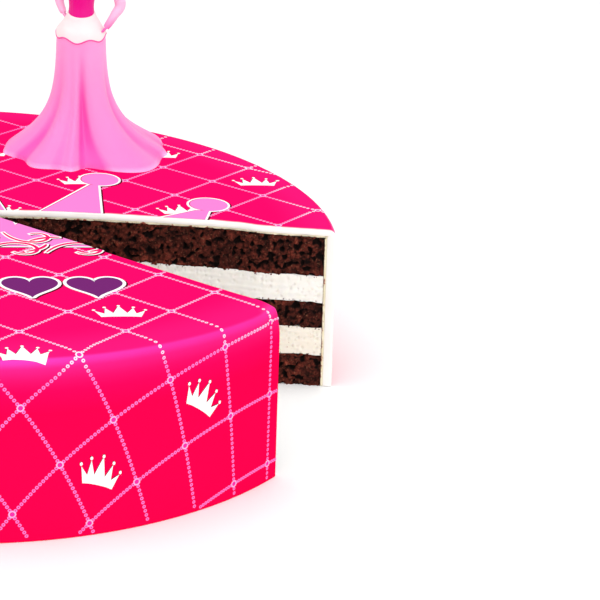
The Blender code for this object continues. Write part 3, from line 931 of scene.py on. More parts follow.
def ring(centre, radius, steps):
    turns = np.linspace(0, 2 * math.pi, steps, endpoint=False)
    return [(centre[0] + radius * math.cos(t), centre[1] + radius * math.sin(t)) for t in turns]


def expand(loop, distance):
    """An anticlockwise loop moved outwards, with mitred corners."""
    found = []
    for before, here, after in zip(loop[-1:] + loop[:-1], loop, loop[1:] + loop[:1]):
        a = (Vector(here) - Vector(before)).normalized()
        b = (Vector(after) - Vector(here)).normalized()
        middle = Vector((a.y + b.y, -a.x - b.x))
        found.append(tuple(Vector(here) + middle * (distance / max(middle.length_squared / 2, 0.4))))
    return found


def shift(loop, by):
    return [(x + by[0], y + by[1]) for x, y in loop]


def swirl(start, heading, span, first_bend, last_bend):
    """A curve whose bend, in radians per millimetre, changes evenly along it."""
    x, y, angle = *start, math.radians(heading)
    points, step = [(x, y)], span / SWIRL_STEPS
    for k in range(SWIRL_STEPS):
        angle += step * (first_bend + (last_bend - first_bend) * (k + 0.5) / SWIRL_STEPS)
        x, y = x + math.cos(angle) * step, y + math.sin(angle) * step
        points.append((x, y))
    return points


def stroke(points, width, grow=0.0):
    """Quads along a curve, narrower at its ends, grown on all sides."""
    count = len(points) - 1
    rails = []
    for k, point in enumerate(points):
        ahead, behind = Vector(points[min(k + 1, count)]), Vector(points[max(k - 1, 0)])
        way = (ahead - behind).normalized()
        fullness = max(math.sin(math.pi * k / count), 0.0) ** 0.6
        half = 0.5 * width * (STROKE_TAPER + (1 - STROKE_TAPER) * fullness) + grow
        here = Vector(point) + way * (grow if k == count else -grow if k == 0 else 0.0)
        across = Vector((-way.y, way.x)) * half
        rails.append((tuple(here + across), tuple(here - across)))
    return [(a[0], a[1], b[1], b[0]) for a, b in zip(rails, rails[1:])]


def slice_through(bm, where, way):
    everything = [*bm.verts, *bm.edges, *bm.faces]
    bmesh.ops.bisect_plane(bm, geom=everything, plane_co=where, plane_no=way, dist=0.001 * MM)


def flat_cells(polygons, step):
    """A flat mesh of polygons given in millimetres, cut into cells of that size."""
    bm = bmesh.new()
    for polygon in polygons:
        bm.faces.new([bm.verts.new((x * MM, y * MM, 0)) for x, y in polygon])
    bmesh.ops.remove_doubles(bm, verts=bm.verts, dist=0.001 * MM)
    bmesh.ops.triangulate(bm, faces=[f for f in bm.faces if len(f.verts) > 4])
    for axis in (0, 1):
        ends = [v.co[axis] for v in bm.verts]
        for k in range(math.floor(min(ends) / step) + 1, math.ceil(max(ends) / step)):
            where, way = Vector((0, 0, 0)), Vector((0, 0, 0))
            where[axis], way[axis] = k * step, 1.0
            slice_through(bm, where, way)
    return bm


def cake_way_out(place):
    """The icing's outward direction at a place on it."""
    start, edge, most = bend()
    side = Vector((place.x, place.y, 0))
    turn = min(math.atan2(max(side.length - start, 0.0), place.z - cake().height + edge), most)
    return side.normalized() * math.sin(turn) + Vector((0, 0, math.cos(turn)))


def clip_to_icing(bm):
    """Takes off what lies in the cut wedge, or nearer to a cut than its margin, or under the foot."""
    planes = [(Vector((0, 0, 0.5 * MM)), Vector((0, 0, -1)))]
    for which in (FAR, NEAR):
        heading, across = cut_heading(which), cut_normal(which)
        marks = [along * MM for along, _ in CUT_BOWS[which]]
        back = [PRINT_MARGINS[which] + float(bow(which, s)) for s in marks]
        line = [WEDGE_POINT + heading * s - across * b for s, b in zip(marks, back)]
        for start, end in zip(line, line[1:]):
            planes.append((Vector((*start, 0)), Vector((end.y - start.y, start.x - end.x, 0)).normalized()))
    for where, way in planes:
        slice_through(bm, where, way)
    gone = []
    for face in bm.faces:
        middle = face.calc_center_median()
        if middle.z < 0.5 * MM or bool(in_gap(middle.x, middle.y, PRINT_MARGINS)):
            gone.append(face)
    bmesh.ops.delete(bm, geom=gone, context="FACES")


def thicken(bm, way_out, low, high, verts, faces):
    """Adds a sheet to verts and faces as a closed body reaching from low to high along way_out."""
    base = len(verts)
    bm.verts.index_update()
    for vert in bm.verts:
        way = way_out(vert.co)
        verts += [vert.co + way * low, vert.co + way * high]
    for face in bm.faces:
        corners = [base + 2 * v.index for v in face.verts]
        faces.append(tuple(c + 1 for c in corners))
        faces.append(tuple(reversed(corners)))
    for edge in bm.edges:
        if edge.is_boundary:
            loop = edge.link_loops[0]
            a, b = base + 2 * loop.vert.index, base + 2 * loop.link_loop_next.vert.index
            faces.append((a, b, b + 1, a + 1))


def print_piece(name, motifs, material):
    """Wraps motifs round the cake: each is a list of polygons and its height over the icing."""
    verts, faces = [], []
    start = bend()[0] / MM
    for polygons, lift in motifs:
        reach = [math.hypot(*corner) for polygon in polygons for corner in polygon]
        if min(reach) > sheet_reach() / MM - 1.0:
            continue
        on_edge = max(reach) > start - 5 and min(reach) < start + 4
        bm = flat_cells(polygons, (0.4 if on_edge else 5.0) * MM)
        flat = np.array([vert.co[:2] for vert in bm.verts])
        places, _ = wrap(flat[:, 0], flat[:, 1], 0.0)
        for vert, place in zip(bm.verts, places):
            vert.co = place
        clip_to_icing(bm)
        thicken(bm, cake_way_out, -0.04 * MM, lift * MM, verts, faces)
        bm.free()
    return dress(mesh_object(name, verts, faces, material), "icing")


def crossing(i, j):
    """A crossing of the lattice, in millimetres on the flat sheet. i + j is even."""
    cells = Vector((i * printed().cell_width, j * printed().cell_height))
    return Vector(LATTICE_CROSSING) + cells / (2 * MM)


def lattice_numbers():
    return [(i, j) for i in LATTICE_COLUMNS for j in LATTICE_ROWS]


def big_crown(grow):
    """The big crown's polygons: its body and its three balls, grown on all sides."""
    shapes = [expand(mirrored(BIG_CROWN_HALF), grow)]
    for x, y in BIG_CROWN_BALLS:
        for side in {x, -x}:
            shapes.append(ring((side, y), BIG_BALL + grow, 44))
    return shapes


def heart(x, y, grow):
    turns = np.linspace(0, 2 * math.pi, 60, endpoint=False)[::-1]
    wide = 10.4 * np.sin(turns) ** 3
    high = sum(part * np.cos(k * turns) for k, part in enumerate((8.6, -3.3, -1.3, -0.6), 1))
    return expand([(x + 0.93 * a, y + b) for a, b in zip(wide, high)], grow)


def flourish():
    """The curves of the scroll under the big crown, each with its width."""
    curves = []
    for k in range(5):
        x = -64 + 22.5 * k
        curves += [
            (swirl((x, -40), 64, 40, -0.015, -0.24), 1.5),
            (swirl((x + 8.5, -19), -72, 33, 0.01, 0.29), 1.4),
            (swirl((x - 5, -28), 38, 12, -0.03, -0.10), 1.6),
            (swirl((x + 15.5, -39), 20, 11, 0.05, 0.12), 1.6),
        ]
    return curves


def crown_spots():
    """Where the small crowns stand on the sheet: in every fourth diamond of every other column."""
    for i, j in lattice_numbers():
        if i % 2 == 0 and j % 4 == (1 if i % 4 == 0 else 3):
            yield crossing(i, j)


def is_covered(spot):
    """Whether a small crown would lie wholly under the big crown, or meet the scroll or a heart."""
    x, y = (np.array(ring(spot, 9.0, 12))[:, k] for k in (0, 1))
    under = np.any([inside(loop, x, y) for loop in big_crown(0.0)], axis=0).all()
    by_heart = any(abs(spot.x - hx) < 19 and abs(spot.y - hy) < 16 for hx, hy in HEART_SPOTS)
    return under or by_heart or (-76 < spot.x < 60 and -52 < spot.y < -6)


def inside(loop, x, y):
    """Whether places lie in a loop, by counting its crossings."""
    within = np.zeros(np.shape(x), bool)
    for (ax, ay), (bx, by) in zip(loop, loop[1:] + loop[:1]):
        if ay != by:
            within ^= ((ay > y) != (by > y)) & (x < (bx - ax) * (y - ay) / (by - ay) + ax)
    return within


def free_of_motifs(flat):
    """Which places of the sheet aren't under the crown or a heart."""
    x, y = flat[:, 0], flat[:, 1]
    covers = big_crown(0.9) + [heart(hx, hy, 0.6) for hx, hy in HEART_SPOTS]
    return ~np.any([inside(cover, x, y) for cover in covers], axis=0)


def bead_group():
    """A node group that stands a small ring on every point, its hole along way_out."""
    tree = bpy.data.node_groups.new("Bead chain", "GeometryNodeTree")
    inputs = {
        "Points": "Geometry", "Radius": "Float", "Width": "Float", "Thickness": "Float",
        "Corners": "Int", "Finish": "Material",
    }
    for name, kind in inputs.items():
        tree.interface.new_socket(name, in_out="INPUT", socket_type="NodeSocket" + kind)
    tree.interface.new_socket("Beads", in_out="OUTPUT", socket_type="NodeSocketGeometry")
    node = tree.nodes.new
    inlet, outlet = node("NodeGroupInput"), node("NodeGroupOutput")
    circle = node("GeometryNodeCurvePrimitiveCircle")
    profile = node("GeometryNodeCurvePrimitiveQuadrilateral")
    sweep, stand = node("GeometryNodeCurveToMesh"), node("GeometryNodeInstanceOnPoints")
    way, turn = node("GeometryNodeInputNamedAttribute"), node("FunctionNodeAlignRotationToVector")
    real, finish = node("GeometryNodeRealizeInstances"), node("GeometryNodeSetMaterial")
    way.data_type = "FLOAT_VECTOR"
    way.inputs["Name"].default_value = "way_out"
    turn.axis = "Z"
    for source, target in (
        (inlet.outputs["Radius"], circle.inputs["Radius"]),
        (inlet.outputs["Corners"], circle.inputs["Resolution"]),
        (inlet.outputs["Width"], profile.inputs["Width"]),
        (inlet.outputs["Thickness"], profile.inputs["Height"]),
        (circle.outputs["Curve"], sweep.inputs["Curve"]),
        (profile.outputs["Curve"], sweep.inputs["Profile Curve"]),
        (way.outputs["Attribute"], turn.inputs["Vector"]),
        (inlet.outputs["Points"], stand.inputs["Points"]),
        (sweep.outputs["Mesh"], stand.inputs["Instance"]),
        (turn.outputs["Rotation"], stand.inputs["Rotation"]),
        (stand.outputs["Instances"], real.inputs["Geometry"]),
        (real.outputs["Geometry"], finish.inputs["Geometry"]),
        (inlet.outputs["Finish"], finish.inputs["Material"]),
        (finish.outputs["Geometry"], outlet.inputs["Beads"]),
    ):
        tree.links.new(source, target)
    return tree


def bead_piece(name, flat, radius, width, material, group):
    """Rings on the icing at places of the flat sheet, given in millimetres."""
    flat = flat[free_of_motifs(flat)]
    flat = flat[np.hypot(flat[:, 0], flat[:, 1]) * MM < sheet_reach() - 1.2 * MM]
    places, ways = wrap(flat[:, 0] * MM, flat[:, 1] * MM, 0.005 * MM)
    reach = radius + width / 2
    kept = ~in_gap(places[:, 0], places[:, 1], (reach + 1.0 * MM, reach + 0.1 * MM))
    mesh = new_mesh(name, places[kept])
    mesh.attributes.new("way_out", "FLOAT_VECTOR", "POINT").data.foreach_set("vector", ways[kept].ravel())
    piece = new_object(name, mesh, material)
    modifier = piece.modifiers.new("Beads", "NODES")
    modifier.node_group = group
    sockets = {item.name: item.identifier for item in group.interface.items_tree if item.in_out == "INPUT"}
    values = {"Radius": radius, "Width": width, "Thickness": 0.10 * MM, "Corners": 8, "Finish": material}
    for label, value in values.items():
        modifier[sockets[label]] = value
    graph = bpy.context.evaluated_depsgraph_get()
    made = bpy.data.meshes.new_from_object(piece.evaluated_get(graph))
    piece.modifiers.clear()
    piece.data = made
    finish_mesh(made, 60)
    return dress(piece, "icing")


def print_material(name, base):
    return make_material(name, base, 0.38, specular=0.0)


def bead_material(name, base):
    """A print colour with a painted highlight: lighter near the rounded edge and towards the front of the top.
    """
    material = print_material(name, base)
    parts = parts_of(material, object_place(material))
    # Painted highlight: lighter on the top towards the front, and along the rounded edge
    on_top = map_range(material, parts["Z"], 0.93 * cake().height, 0.98 * cake().height)
    on_top = times(material, on_top, map_range(material, parts["Y"], 110 * MM, -90 * MM))
    light = times(material, painted_edge_highlight(material)[0], 0.95)
    light = math_node(material, "MAXIMUM", light, times(material, on_top, 0.5))
    return painted(material, mix_colour(material, light, base, printed().bead_highlight))


def stacked(loops, lift, by=(0.0, 0.0)):
    """Motifs of one loop each, shifted, with each a little higher than the one before."""
    return [([shift(loop, by)], lift + LIFT_STEP * k) for k, loop in enumerate(loops)]


class CAKE_OT_lattice(bpy.types.Operator):
    """Makes the chains of beads and the rings where they cross"""

    bl_idname = "cake.lattice"
    bl_label = "Lattice of beads"

    def execute(self, context):
        settings = printed()
        group = bead_group()
        pink = bead_material("Bead pink", settings.bead_pink)
        middle = (settings.bead + settings.bead_hole) / 4
        width = (settings.bead - settings.bead_hole) / 2
        starts = np.array([crossing(i, j) for i, j in lattice_numbers() if (i + j) % 2 == 0])
        for name, sign in (("chains_rising", 1), ("chains_falling", -1)):
            side = np.array((settings.cell_width, sign * settings.cell_height)) / (2 * MM)
            total = np.hypot(*side)
            along = np.linspace(1.75, total - 1.75, settings.beads_a_side) / total
            flat = (starts[:, None, :] + side * along[None, :, None]).reshape(-1, 2)
            bead_piece(name, flat, middle, width, pink, group)
        rings = bead_material("Knot ring pink", settings.knot_ring)
        band = settings.knot_band
        bead_piece("knots", starts, (settings.knot - band) / 2, band, rings, group)
        middles = print_material("Knot pink", settings.knot_pink)
        bead_piece("knot_middles", starts, 0.37 * MM, 0.7 * MM, middles, group)
        return {"FINISHED"}


class CAKE_OT_motifs(bpy.types.Operator):
    """Makes the printed crowns, the scroll and the row of hearts"""

    bl_idname = "cake.motifs"
    bl_label = "Crowns, scroll and hearts"

    def execute(self, context):
        settings = printed()
        white = print_material("Print white", settings.white)
        shade = print_material("Print shade", settings.shade)
        small = []
        for spot in crown_spots():
            if math.hypot(spot.x, spot.y + 4) > sheet_reach() / MM + 2 or is_covered(spot):
                continue
            place = wrap(spot.x * MM, spot.y * MM, 0.0)[0]
            if in_gap(place[0], place[1], (-20 * MM, -3 * MM)):
                continue
            low = Vector((spot.x, spot.y - 4.6))
            small.append(([shift(mirrored(SMALL_CROWN_HALF), low)], SMALL_CROWN_LIFT))
            for x, y in SMALL_CROWN_BALLS:
                for side in {x, -x}:
                    small.append(([ring(low + Vector((side, y)), SMALL_BALL, 12)], SMALL_BALL_LIFT))
        print_piece("small_crowns", small, white)
        cast = []
        for loops, lift in small:
            cast.append(([shift(loop, (-0.2, 0.22)) for loop in loops], lift - SMALL_SHADE_DROP))
        print_piece("small_crown_shades", cast, shade)
        ring_width, line_width, heart_width = 0.86, 0.62, 1.2
        curves = flourish()
        outlines = [stroke(curve, width, line_width) for curve, width in curves]
        hearts = [heart(x, y, heart_width) for x, y in HEART_SPOTS]
        shades = stacked(big_crown(ring_width), SHADE_LIFT, (0.6, -0.6))
        shades += [([shift(quad, (0.5, -0.5)) for quad in quads], SCROLL_SHADE_LIFT) for quads in outlines]
        print_piece("motif_shades", shades + [([shift(h, (0.6, -0.6))], SHADE_LIFT) for h in hearts], shade)
        whites = stacked(big_crown(ring_width), OUTLINE_LIFT)
        whites += [(quads, SCROLL_OUTLINE_LIFT) for quads in outlines]
        print_piece("motif_outlines", whites + [([h], HEART_OUTLINE_LIFT) for h in hearts], white)
        fill = stacked(big_crown(-0.2), FILL_LIFT, (0.17, -0.17))
        scroll = [(stroke(curve, width), SCROLL_LIFT) for curve, width in curves]
        fillings = [([heart(x, y, 0.0)], HEART_LIFT) for x, y in HEART_SPOTS]
        for name, motifs, label, tone in (
            ("big_crown_lines", stacked(big_crown(0.0), LINE_LIFT), "Print wine red", settings.line),
            ("big_crown_fill", fill, "Print pale pink", settings.pale_pink),
            ("scroll_fill", scroll, "Print scroll pink", settings.scroll),
            ("heart_fills", fillings, "Print purple", settings.purple),
        ):
            print_piece(name, motifs, print_material(label, tone))
        return {"FINISHED"}


# The figure, in its own place first: it faces -Y, with its hem at height 0


def put_on_cake(points):
    """Moves places of the figure to the cake, with its hips swung to one side."""
    points = np.array(points, float).reshape(-1, 3)
    x = points[:, 0] - HIP_SWAY * (1 - np.exp(-points[:, 2] / SWAY_HEIGHT))
    y = points[:, 1]
    c, s = math.cos(FIGURE_TURN), math.sin(FIGURE_TURN)
    turned = np.stack([x * c - y * s, x * s + y * c, points[:, 2]], 1)
    return turned * FIGURE_SCALE + np.array(FIGURE_PLACE)


def rounded(rows, steps):
    """A smooth run through rows, which are numbers or whole rings, with steps to each gap."""
    rows = np.asarray(rows, float)
    padded = np.concatenate([rows[:1], rows, rows[-1:]])
    found = []
    for k in range(len(rows) - 1):
        a, b, c, d = padded[k : k + 4]
        for t in np.arange(steps) / steps:
            bend = (2 * a - 5 * b + 4 * c - d) * t**2 + (3 * b - a - 3 * c + d) * t**3
            found.append(0.5 * (2 * b + (c - a) * t + bend))
    return np.array(found + [rows[-1]])


def turns_about(count):
    return np.linspace(0, 2 * math.pi, count, endpoint=False)


def oval(centre, wide, deep, height, turns):
    """A level ring. height may differ round it."""
    rise = np.zeros(len(turns)) + height
    return np.stack([centre[0] + wide * np.cos(turns), centre[1] + deep * np.sin(turns), rise], 1)


def band_faces(rows, count, closed=False):
    """Faces between rings of count points, and from the last ring back to the first where closed."""
    faces = []
    for k in range(rows if closed else rows - 1):
        m = (k + 1) % rows
        for i in range(count):
            j = (i + 1) % count
            faces.append((k * count + i, k * count + j, m * count + j, m * count + i))
    return faces


def lathe(name, rings, material, slot, *nodes, levels=None):
    """A closed body on the figure through rings of equally many points, from the lowest up."""
    rings = np.asarray(rings)
    rows, count = rings.shape[:2]
    points = np.concatenate([rings.reshape(-1, 3), rings[[0, -1]].mean(axis=1)])
    faces = band_faces(rows, count)
    for i in range(count):
        j = (i + 1) % count
        faces.append((j, i, rows * count))
        faces.append(((rows - 1) * count + i, (rows - 1) * count + j, rows * count + 1))
    # Each point's depth in the gown's folds, for the painted shade there
    folds = {} if levels is None else {"fold_shade": np.concatenate([np.asarray(levels).ravel(), [0.0, 0.0]])}
    mesh = new_mesh(name, put_on_cake(points), faces, **folds)
    finish_mesh(mesh, 60)
    return dress(new_object(name, mesh, material), slot, *nodes)


def tube_rings(path, radii, sides, ring_closed=False):
    """Rings square to a path."""
    path = np.asarray(path, float)
    turns = turns_about(sides)
    ahead, behind = np.roll(path, -1, 0), np.roll(path, 1, 0)
    if not ring_closed:
        ahead[-1], behind[0] = path[-1], path[0]
    ways = ahead - behind
    ways /= np.linalg.norm(ways, axis=1)[:, None]
    aside = np.cross(ways, (0.31, -0.93, 0.17))
    aside /= np.linalg.norm(aside, axis=1)[:, None]
    up = np.cross(aside, ways)
    spread = np.cos(turns)[None, :, None] * aside[:, None] + np.sin(turns)[None, :, None] * up[:, None]
    return path[:, None] + spread * np.asarray(radii)[:, None, None]


def blob(centre, radii, sides=20, rows=12):
    """Rings of an ellipsoid."""
    found = []
    for a in np.linspace(-math.pi / 2, math.pi / 2, rows + 2)[1:-1]:
        wide, deep, rise = radii[0] * math.cos(a), radii[1] * math.cos(a), radii[2] * math.sin(a)
        found.append(oval(centre, wide, deep, centre[2] + rise, turns_about(sides)))
    return found


def hem_reach(turns):
    """How far the hem reaches out, with its tips and dips."""
    degrees = (np.degrees(turns) + 154) % 360 - 154
    table = np.array(HEM_TIPS_AND_DIPS)
    k = np.clip(np.searchsorted(table[:, 0], degrees, side="right") - 1, 0, len(table) - 2)
    share = smooth_step((degrees - table[k, 0]) / (table[k + 1, 0] - table[k, 0]))
    return (table[k, 1] + (table[k + 1, 1] - table[k, 1]) * share) * MM


def fold_relief(turns, height):
    """How far the gown's folds push it in or out at a height."""
    relief = np.zeros(len(turns))
    for middle, half_width, depth in GOWN_FOLDS:
        away = ((np.degrees(turns) - middle + 180) % 360 - 180) / half_width
        relief -= depth * MM * (1 - 0.55 * away**2) * np.exp(-0.9 * away**2)
    return relief * smooth_step(height / (8 * MM)) * (1 - smooth_step((height - 13 * MM) / (31 * MM)))


def gown_reach(turns, height):
    waist = GOWN_WAIST * np.hypot(np.cos(turns), GOWN_DEPTH * np.sin(turns))
    flare = math.exp(-((max(height - 0.8 * MM, 0) / FLARE_HEIGHT) ** FLARE_POWER))
    lip = 1 + 0.018 * max(1 - height / (0.9 * MM), 0.0)
    return waist + (hem_reach(turns) * lip - waist) * flare + fold_relief(turns, height)


def hip_line(turns):
    return (1.6 * np.sin(turns) + 0.7 * np.cos(6 * turns)) * MM


def waist_line(turns):
    return 1.3 * MM * np.sin(turns)


def gown_material():
    """Satin vinyl, paler towards the hips, with painted light at the hem and painted shade deeper in the folds.
    """
    settings = figure()
    material = make_material("Gown pink", settings.gown, 0.42, specular=0.35)
    set_subsurface(material, 0.2, (0.002, 0.001, 0.0015), 0.5)
    height = parts_of(material, object_place(material))["Z"]
    rise = map_range(material, height, 70 * MM, 105 * MM)
    # Painted light: paler over the lowest part of the hem
    hem = map_range(material, height, 64.9 * MM, 63.6 * MM)
    # Painted shade deep in the gown's folds
    depth = times(material, attribute_of(material, "fold_shade"), 0.85, clamp=True)
    base = mix_colour(material, rise, settings.gown, settings.gown_high)
    base = mix_colour(material, hem, base, settings.gown_hem_light)
    return painted(material, mix_colour(material, depth, base, settings.gown_fold_shade))


def sleeve_material():
    """Pale vinyl with painted shade that deepens it towards the wrists."""
    settings = figure()
    material = make_material("Sleeve pink", settings.sleeve, 0.42, specular=0.3)
    height = parts_of(material, object_place(material))["Z"]
    # Painted shade towards the wrists, in the colour of the shade in the gown's folds
    upper = map_range(material, height, 113 * MM, 120 * MM)
    return painted(material, mix_colour(material, upper, settings.gown_fold_shade, settings.sleeve))


def make_gown(material):
    turns = turns_about(360)
    rings, levels = [], []
    for height in np.array(GOWN_ROWS) * MM:
        reach = gown_reach(turns, height)
        spread = [np.roll(reach, k) for k in range(-24, 25)]
        # How deep each point lies in the folds, for the painted shade there
        levels.append(np.clip((np.mean(spread, axis=0) - reach) / (1.3 * MM), -1, 1))
        rings.append(np.stack([reach * np.cos(turns), reach * np.sin(turns), np.full(360, height)], 1))
    for rise, inset in ((0.35, 0.0), (0.7, 0.0), (1.0, 0.05), (1.05, 1.6)):
        reach = gown_reach(turns, 46 * MM) - inset * MM
        top = GOWN_TOP + (HIP_HEIGHT + hip_line(turns) - GOWN_TOP) * rise
        rings.append(np.stack([reach * np.cos(turns), reach * np.sin(turns), top], 1))
        levels.append(np.zeros(360))
    return lathe("gown", rings, material, "gown", "figure_gown", levels=levels)


def make_sash(material, seam):
    turns = turns_about(180)
    hip, waist = hip_line(turns), waist_line(turns)
    rings = []
    for wide, deep, rise, by_hip, by_waist in SASH_ROWS:
        height = HIP_HEIGHT + rise * MM + by_hip * hip + by_waist * waist
        rings.append(oval((0, 0), wide * MM, deep * MM, height, turns))
    lathe("sash", rounded(rings, 5), material, "sash", "figure_sash")
    edge = oval((0, 0), 9.66 * MM, 8.14 * MM, HIP_HEIGHT + 0.05 * MM + hip, turns)
    ring_body("sash_seam", tube_rings(edge, np.full(180, 0.26 * MM), 8, True), seam, "gown")


def ring_body(name, rings, material, slot):
    """A closed loop of rings."""
    faces = band_faces(*rings.shape[:2], closed=True)
    return dress(mesh_object(name, put_on_cake(rings), faces, material), slot)


def make_bodice(material):
    turns = turns_about(120)
    rings = []
    for rise, wide, deep, forward in rounded(BODICE_ROWS, 5):
        ring_points = oval((0, forward * MM), wide * MM, deep * MM, WAIST_HEIGHT + rise * MM, turns)
        groove = 0.14 * np.exp(-(((np.degrees(turns) - 270) / 3.0) ** 2))
        for side in (-40, 40):
            groove = groove + 0.10 * np.exp(-(((np.degrees(turns) - 270 - side) / 3.5) ** 2))
        ring_points[:, :2] *= (1 - groove * MM / (wide * MM))[:, None]
        ring_points[:, 2] += np.where(rise < 1.0, waist_line(turns), waist_line(turns) * max(1 - rise / 6, 0))
        rings.append(ring_points)
    lathe("bodice", rings, material, "bodice", "figure_bodice")


def make_arms(sleeve):
    radii, thin = np.array(ARM_RADII) * MM, np.array(FINGER_RADII) * MM
    for side, corners in ARM_PATHS.items():
        path = rounded(np.array(corners) * MM, 12)
        sizes = np.interp(np.linspace(0, 12, len(path)), np.arange(13), radii)
        rings = tube_rings(path, sizes, 24)
        lathe(f"arm_{side}", rings, sleeve, "gown", f"figure_arm_{side}")
        wrist, way = path[-1], (path[-1] - path[-4]) / np.linalg.norm(path[-1] - path[-4])
        inward = np.array((-np.sign(wrist[0]), -0.25, 0.0))
        for number, (aside, reach) in enumerate(FINGERS):
            base = wrist + np.array((0, aside, 0.15 * aside)) * 0.9 * MM - way * 0.5 * MM
            finger = [base + way * reach * MM * t + inward * (0.5 * t * t * MM) for t in np.linspace(0, 1, 8)]
            lathe(f"finger_{side}_{number}", tube_rings(finger, thin, 10), sleeve, "gown")


def face_relief(x, z):
    """How far the nose, lips, cheeks and chin stand forward, and how deep the eyes lie, at the front."""
    x, z = np.asarray(x) / MM, np.asarray(z) / MM
    nose = 0.95 * np.exp(-((x / 0.62) ** 2) - ((z - 82.6) / 0.75) ** 2)
    bridge = 0.35 * np.exp(-((x / 0.6) ** 2) - ((z - 84.0) / 1.3) ** 2)
    lips = 0.28 * np.exp(-((x / 1.1) ** 2) - ((z - 80.9) / 0.5) ** 2)
    chin = 0.30 * np.exp(-((x / 1.3) ** 2) - ((z - 79.4) / 0.8) ** 2)
    eyes = sum(0.30 * np.exp(-(((x - side) / 1.2) ** 2) - ((z - 84.3) / 0.9) ** 2) for side in (-2.4, 2.4))
    cheeks = sum(0.22 * np.exp(-(((x - side) / 1.4) ** 2) - ((z - 82.2) / 1.2) ** 2) for side in (-3.0, 3.0))
    return (nose + bridge + lips + chin + cheeks - eyes) * MM


def head_front(x, z):
    """Where the face's surface lies at places seen from the front."""
    rows = rounded(HEAD_ROWS, 4) * MM
    levels = HEAD_FOOT + rows[:, 0]
    wide, deep, forward = (np.interp(z, levels, rows[:, k]) for k in (1, 2, 3))
    return forward - deep * np.sqrt(np.clip(1 - (x / wide) ** 2, 0.0, 1.0)) - face_relief(x, z)


def make_head(material):
    turns = turns_about(160)
    rings = []
    for rise, wide, deep, forward in rounded(HEAD_ROWS, 7):
        ring_points = oval((0, forward * MM), wide * MM, deep * MM, HEAD_FOOT + rise * MM, turns)
        front = smooth_step(-np.sin(turns) * 3)
        ring_points[:, 1] -= face_relief(ring_points[:, 0], ring_points[:, 2]) * front
        rings.append(ring_points)
    lathe("head", rings, material, "skin", "figure_head")


def arc_shape(centre, half, rise, thick, turn, steps=18):
    """A thin crescent, for a brow, a lash line or a lip."""
    c, s = math.cos(math.radians(turn)), math.sin(math.radians(turn))
    upper, lower = [], []
    for k in range(steps + 1):
        t = 2 * k / steps - 1
        for row, extra in ((upper, thick), (lower, 0.0)):
            x, z = half * t, (rise + extra) * (1 - t * t)
            row.append((centre[0] + x * c - z * s, centre[1] + x * s + z * c))
    return lower + upper[-2:0:-1]


def oval_shape(centre, half_width, half_height, steps=24):
    x, z = centre
    return [(x + half_width * math.cos(t), z + half_height * math.sin(t)) for t in turns_about(steps)]


def face_piece(name, shapes, lift, material, slot):
    """Thin closed bodies on the face, from loops of x and height in millimetres."""
    verts, faces = [], []
    middle = Vector((0, 0, FACE_HEIGHT))
    for shape in shapes:
        bm = flat_cells([shape], 0.35 * MM)
        for vert in bm.verts:
            x, z = vert.co.x, vert.co.y
            vert.co = (x, float(head_front(x, z)), z)
        thicken(bm, lambda place: (place - middle).normalized(), -0.15 * MM, lift * MM, verts, faces)
        bm.free()
    return dress(mesh_object(name, put_on_cake([tuple(v) for v in verts]), faces, material), slot)


def make_face():
    """A plain, calm doll's face."""
    settings = figure()

    def both(shape):
        return [shape, [(-x, z) for x, z in reversed(shape)]]

    white = oval_shape((2.35, 84.25), 1.12, 0.72)
    iris, pupil = (oval_shape((2.28, 84.25), *size) for size in ((0.60, 0.66), (0.28, 0.32)))
    glints = [oval_shape((x + 0.2, 84.5), 0.13, 0.13, 10) for x in (2.28, -2.28)]
    lash, brow = arc_shape((2.4, 84.35), 1.3, 0.55, 0.26, -4), arc_shape((2.5, 85.9), 1.35, 0.42, 0.26, -6)
    lips = [
        (-1.15, 81.0), (-0.5, 80.62), (0.0, 80.52), (0.5, 80.62),
        (1.15, 81.0), (0.45, 81.3), (0.0, 81.2), (-0.45, 81.3),
    ]
    for name, shapes, lift, label, tone, roughness, slot in (
        ("eye_whites", both(white), 0.05, "Eye white", settings.eye_white, 0.3, "skin"),
        ("irises", both(iris), 0.09, "Iris brown", settings.iris, 0.25, "skin"),
        ("pupils", both(pupil), 0.12, "Pupil black", settings.pupil, 0.2, "skin"),
        ("eye_glints", glints, 0.15, "Eye glint", settings.glint, 0.2, "skin"),
        ("lashes", both(lash), 0.12, "Lash brown", settings.lash, 0.5, "hair"),
        ("brows", both(brow), 0.08, "Brow brown", settings.brow, 0.6, "hair"),
        ("lips", [lips], 0.06, "Lip rose", settings.lips, 0.35, "skin"),
    ):
        face_piece(name, shapes, lift, make_material(label, tone, roughness), slot)


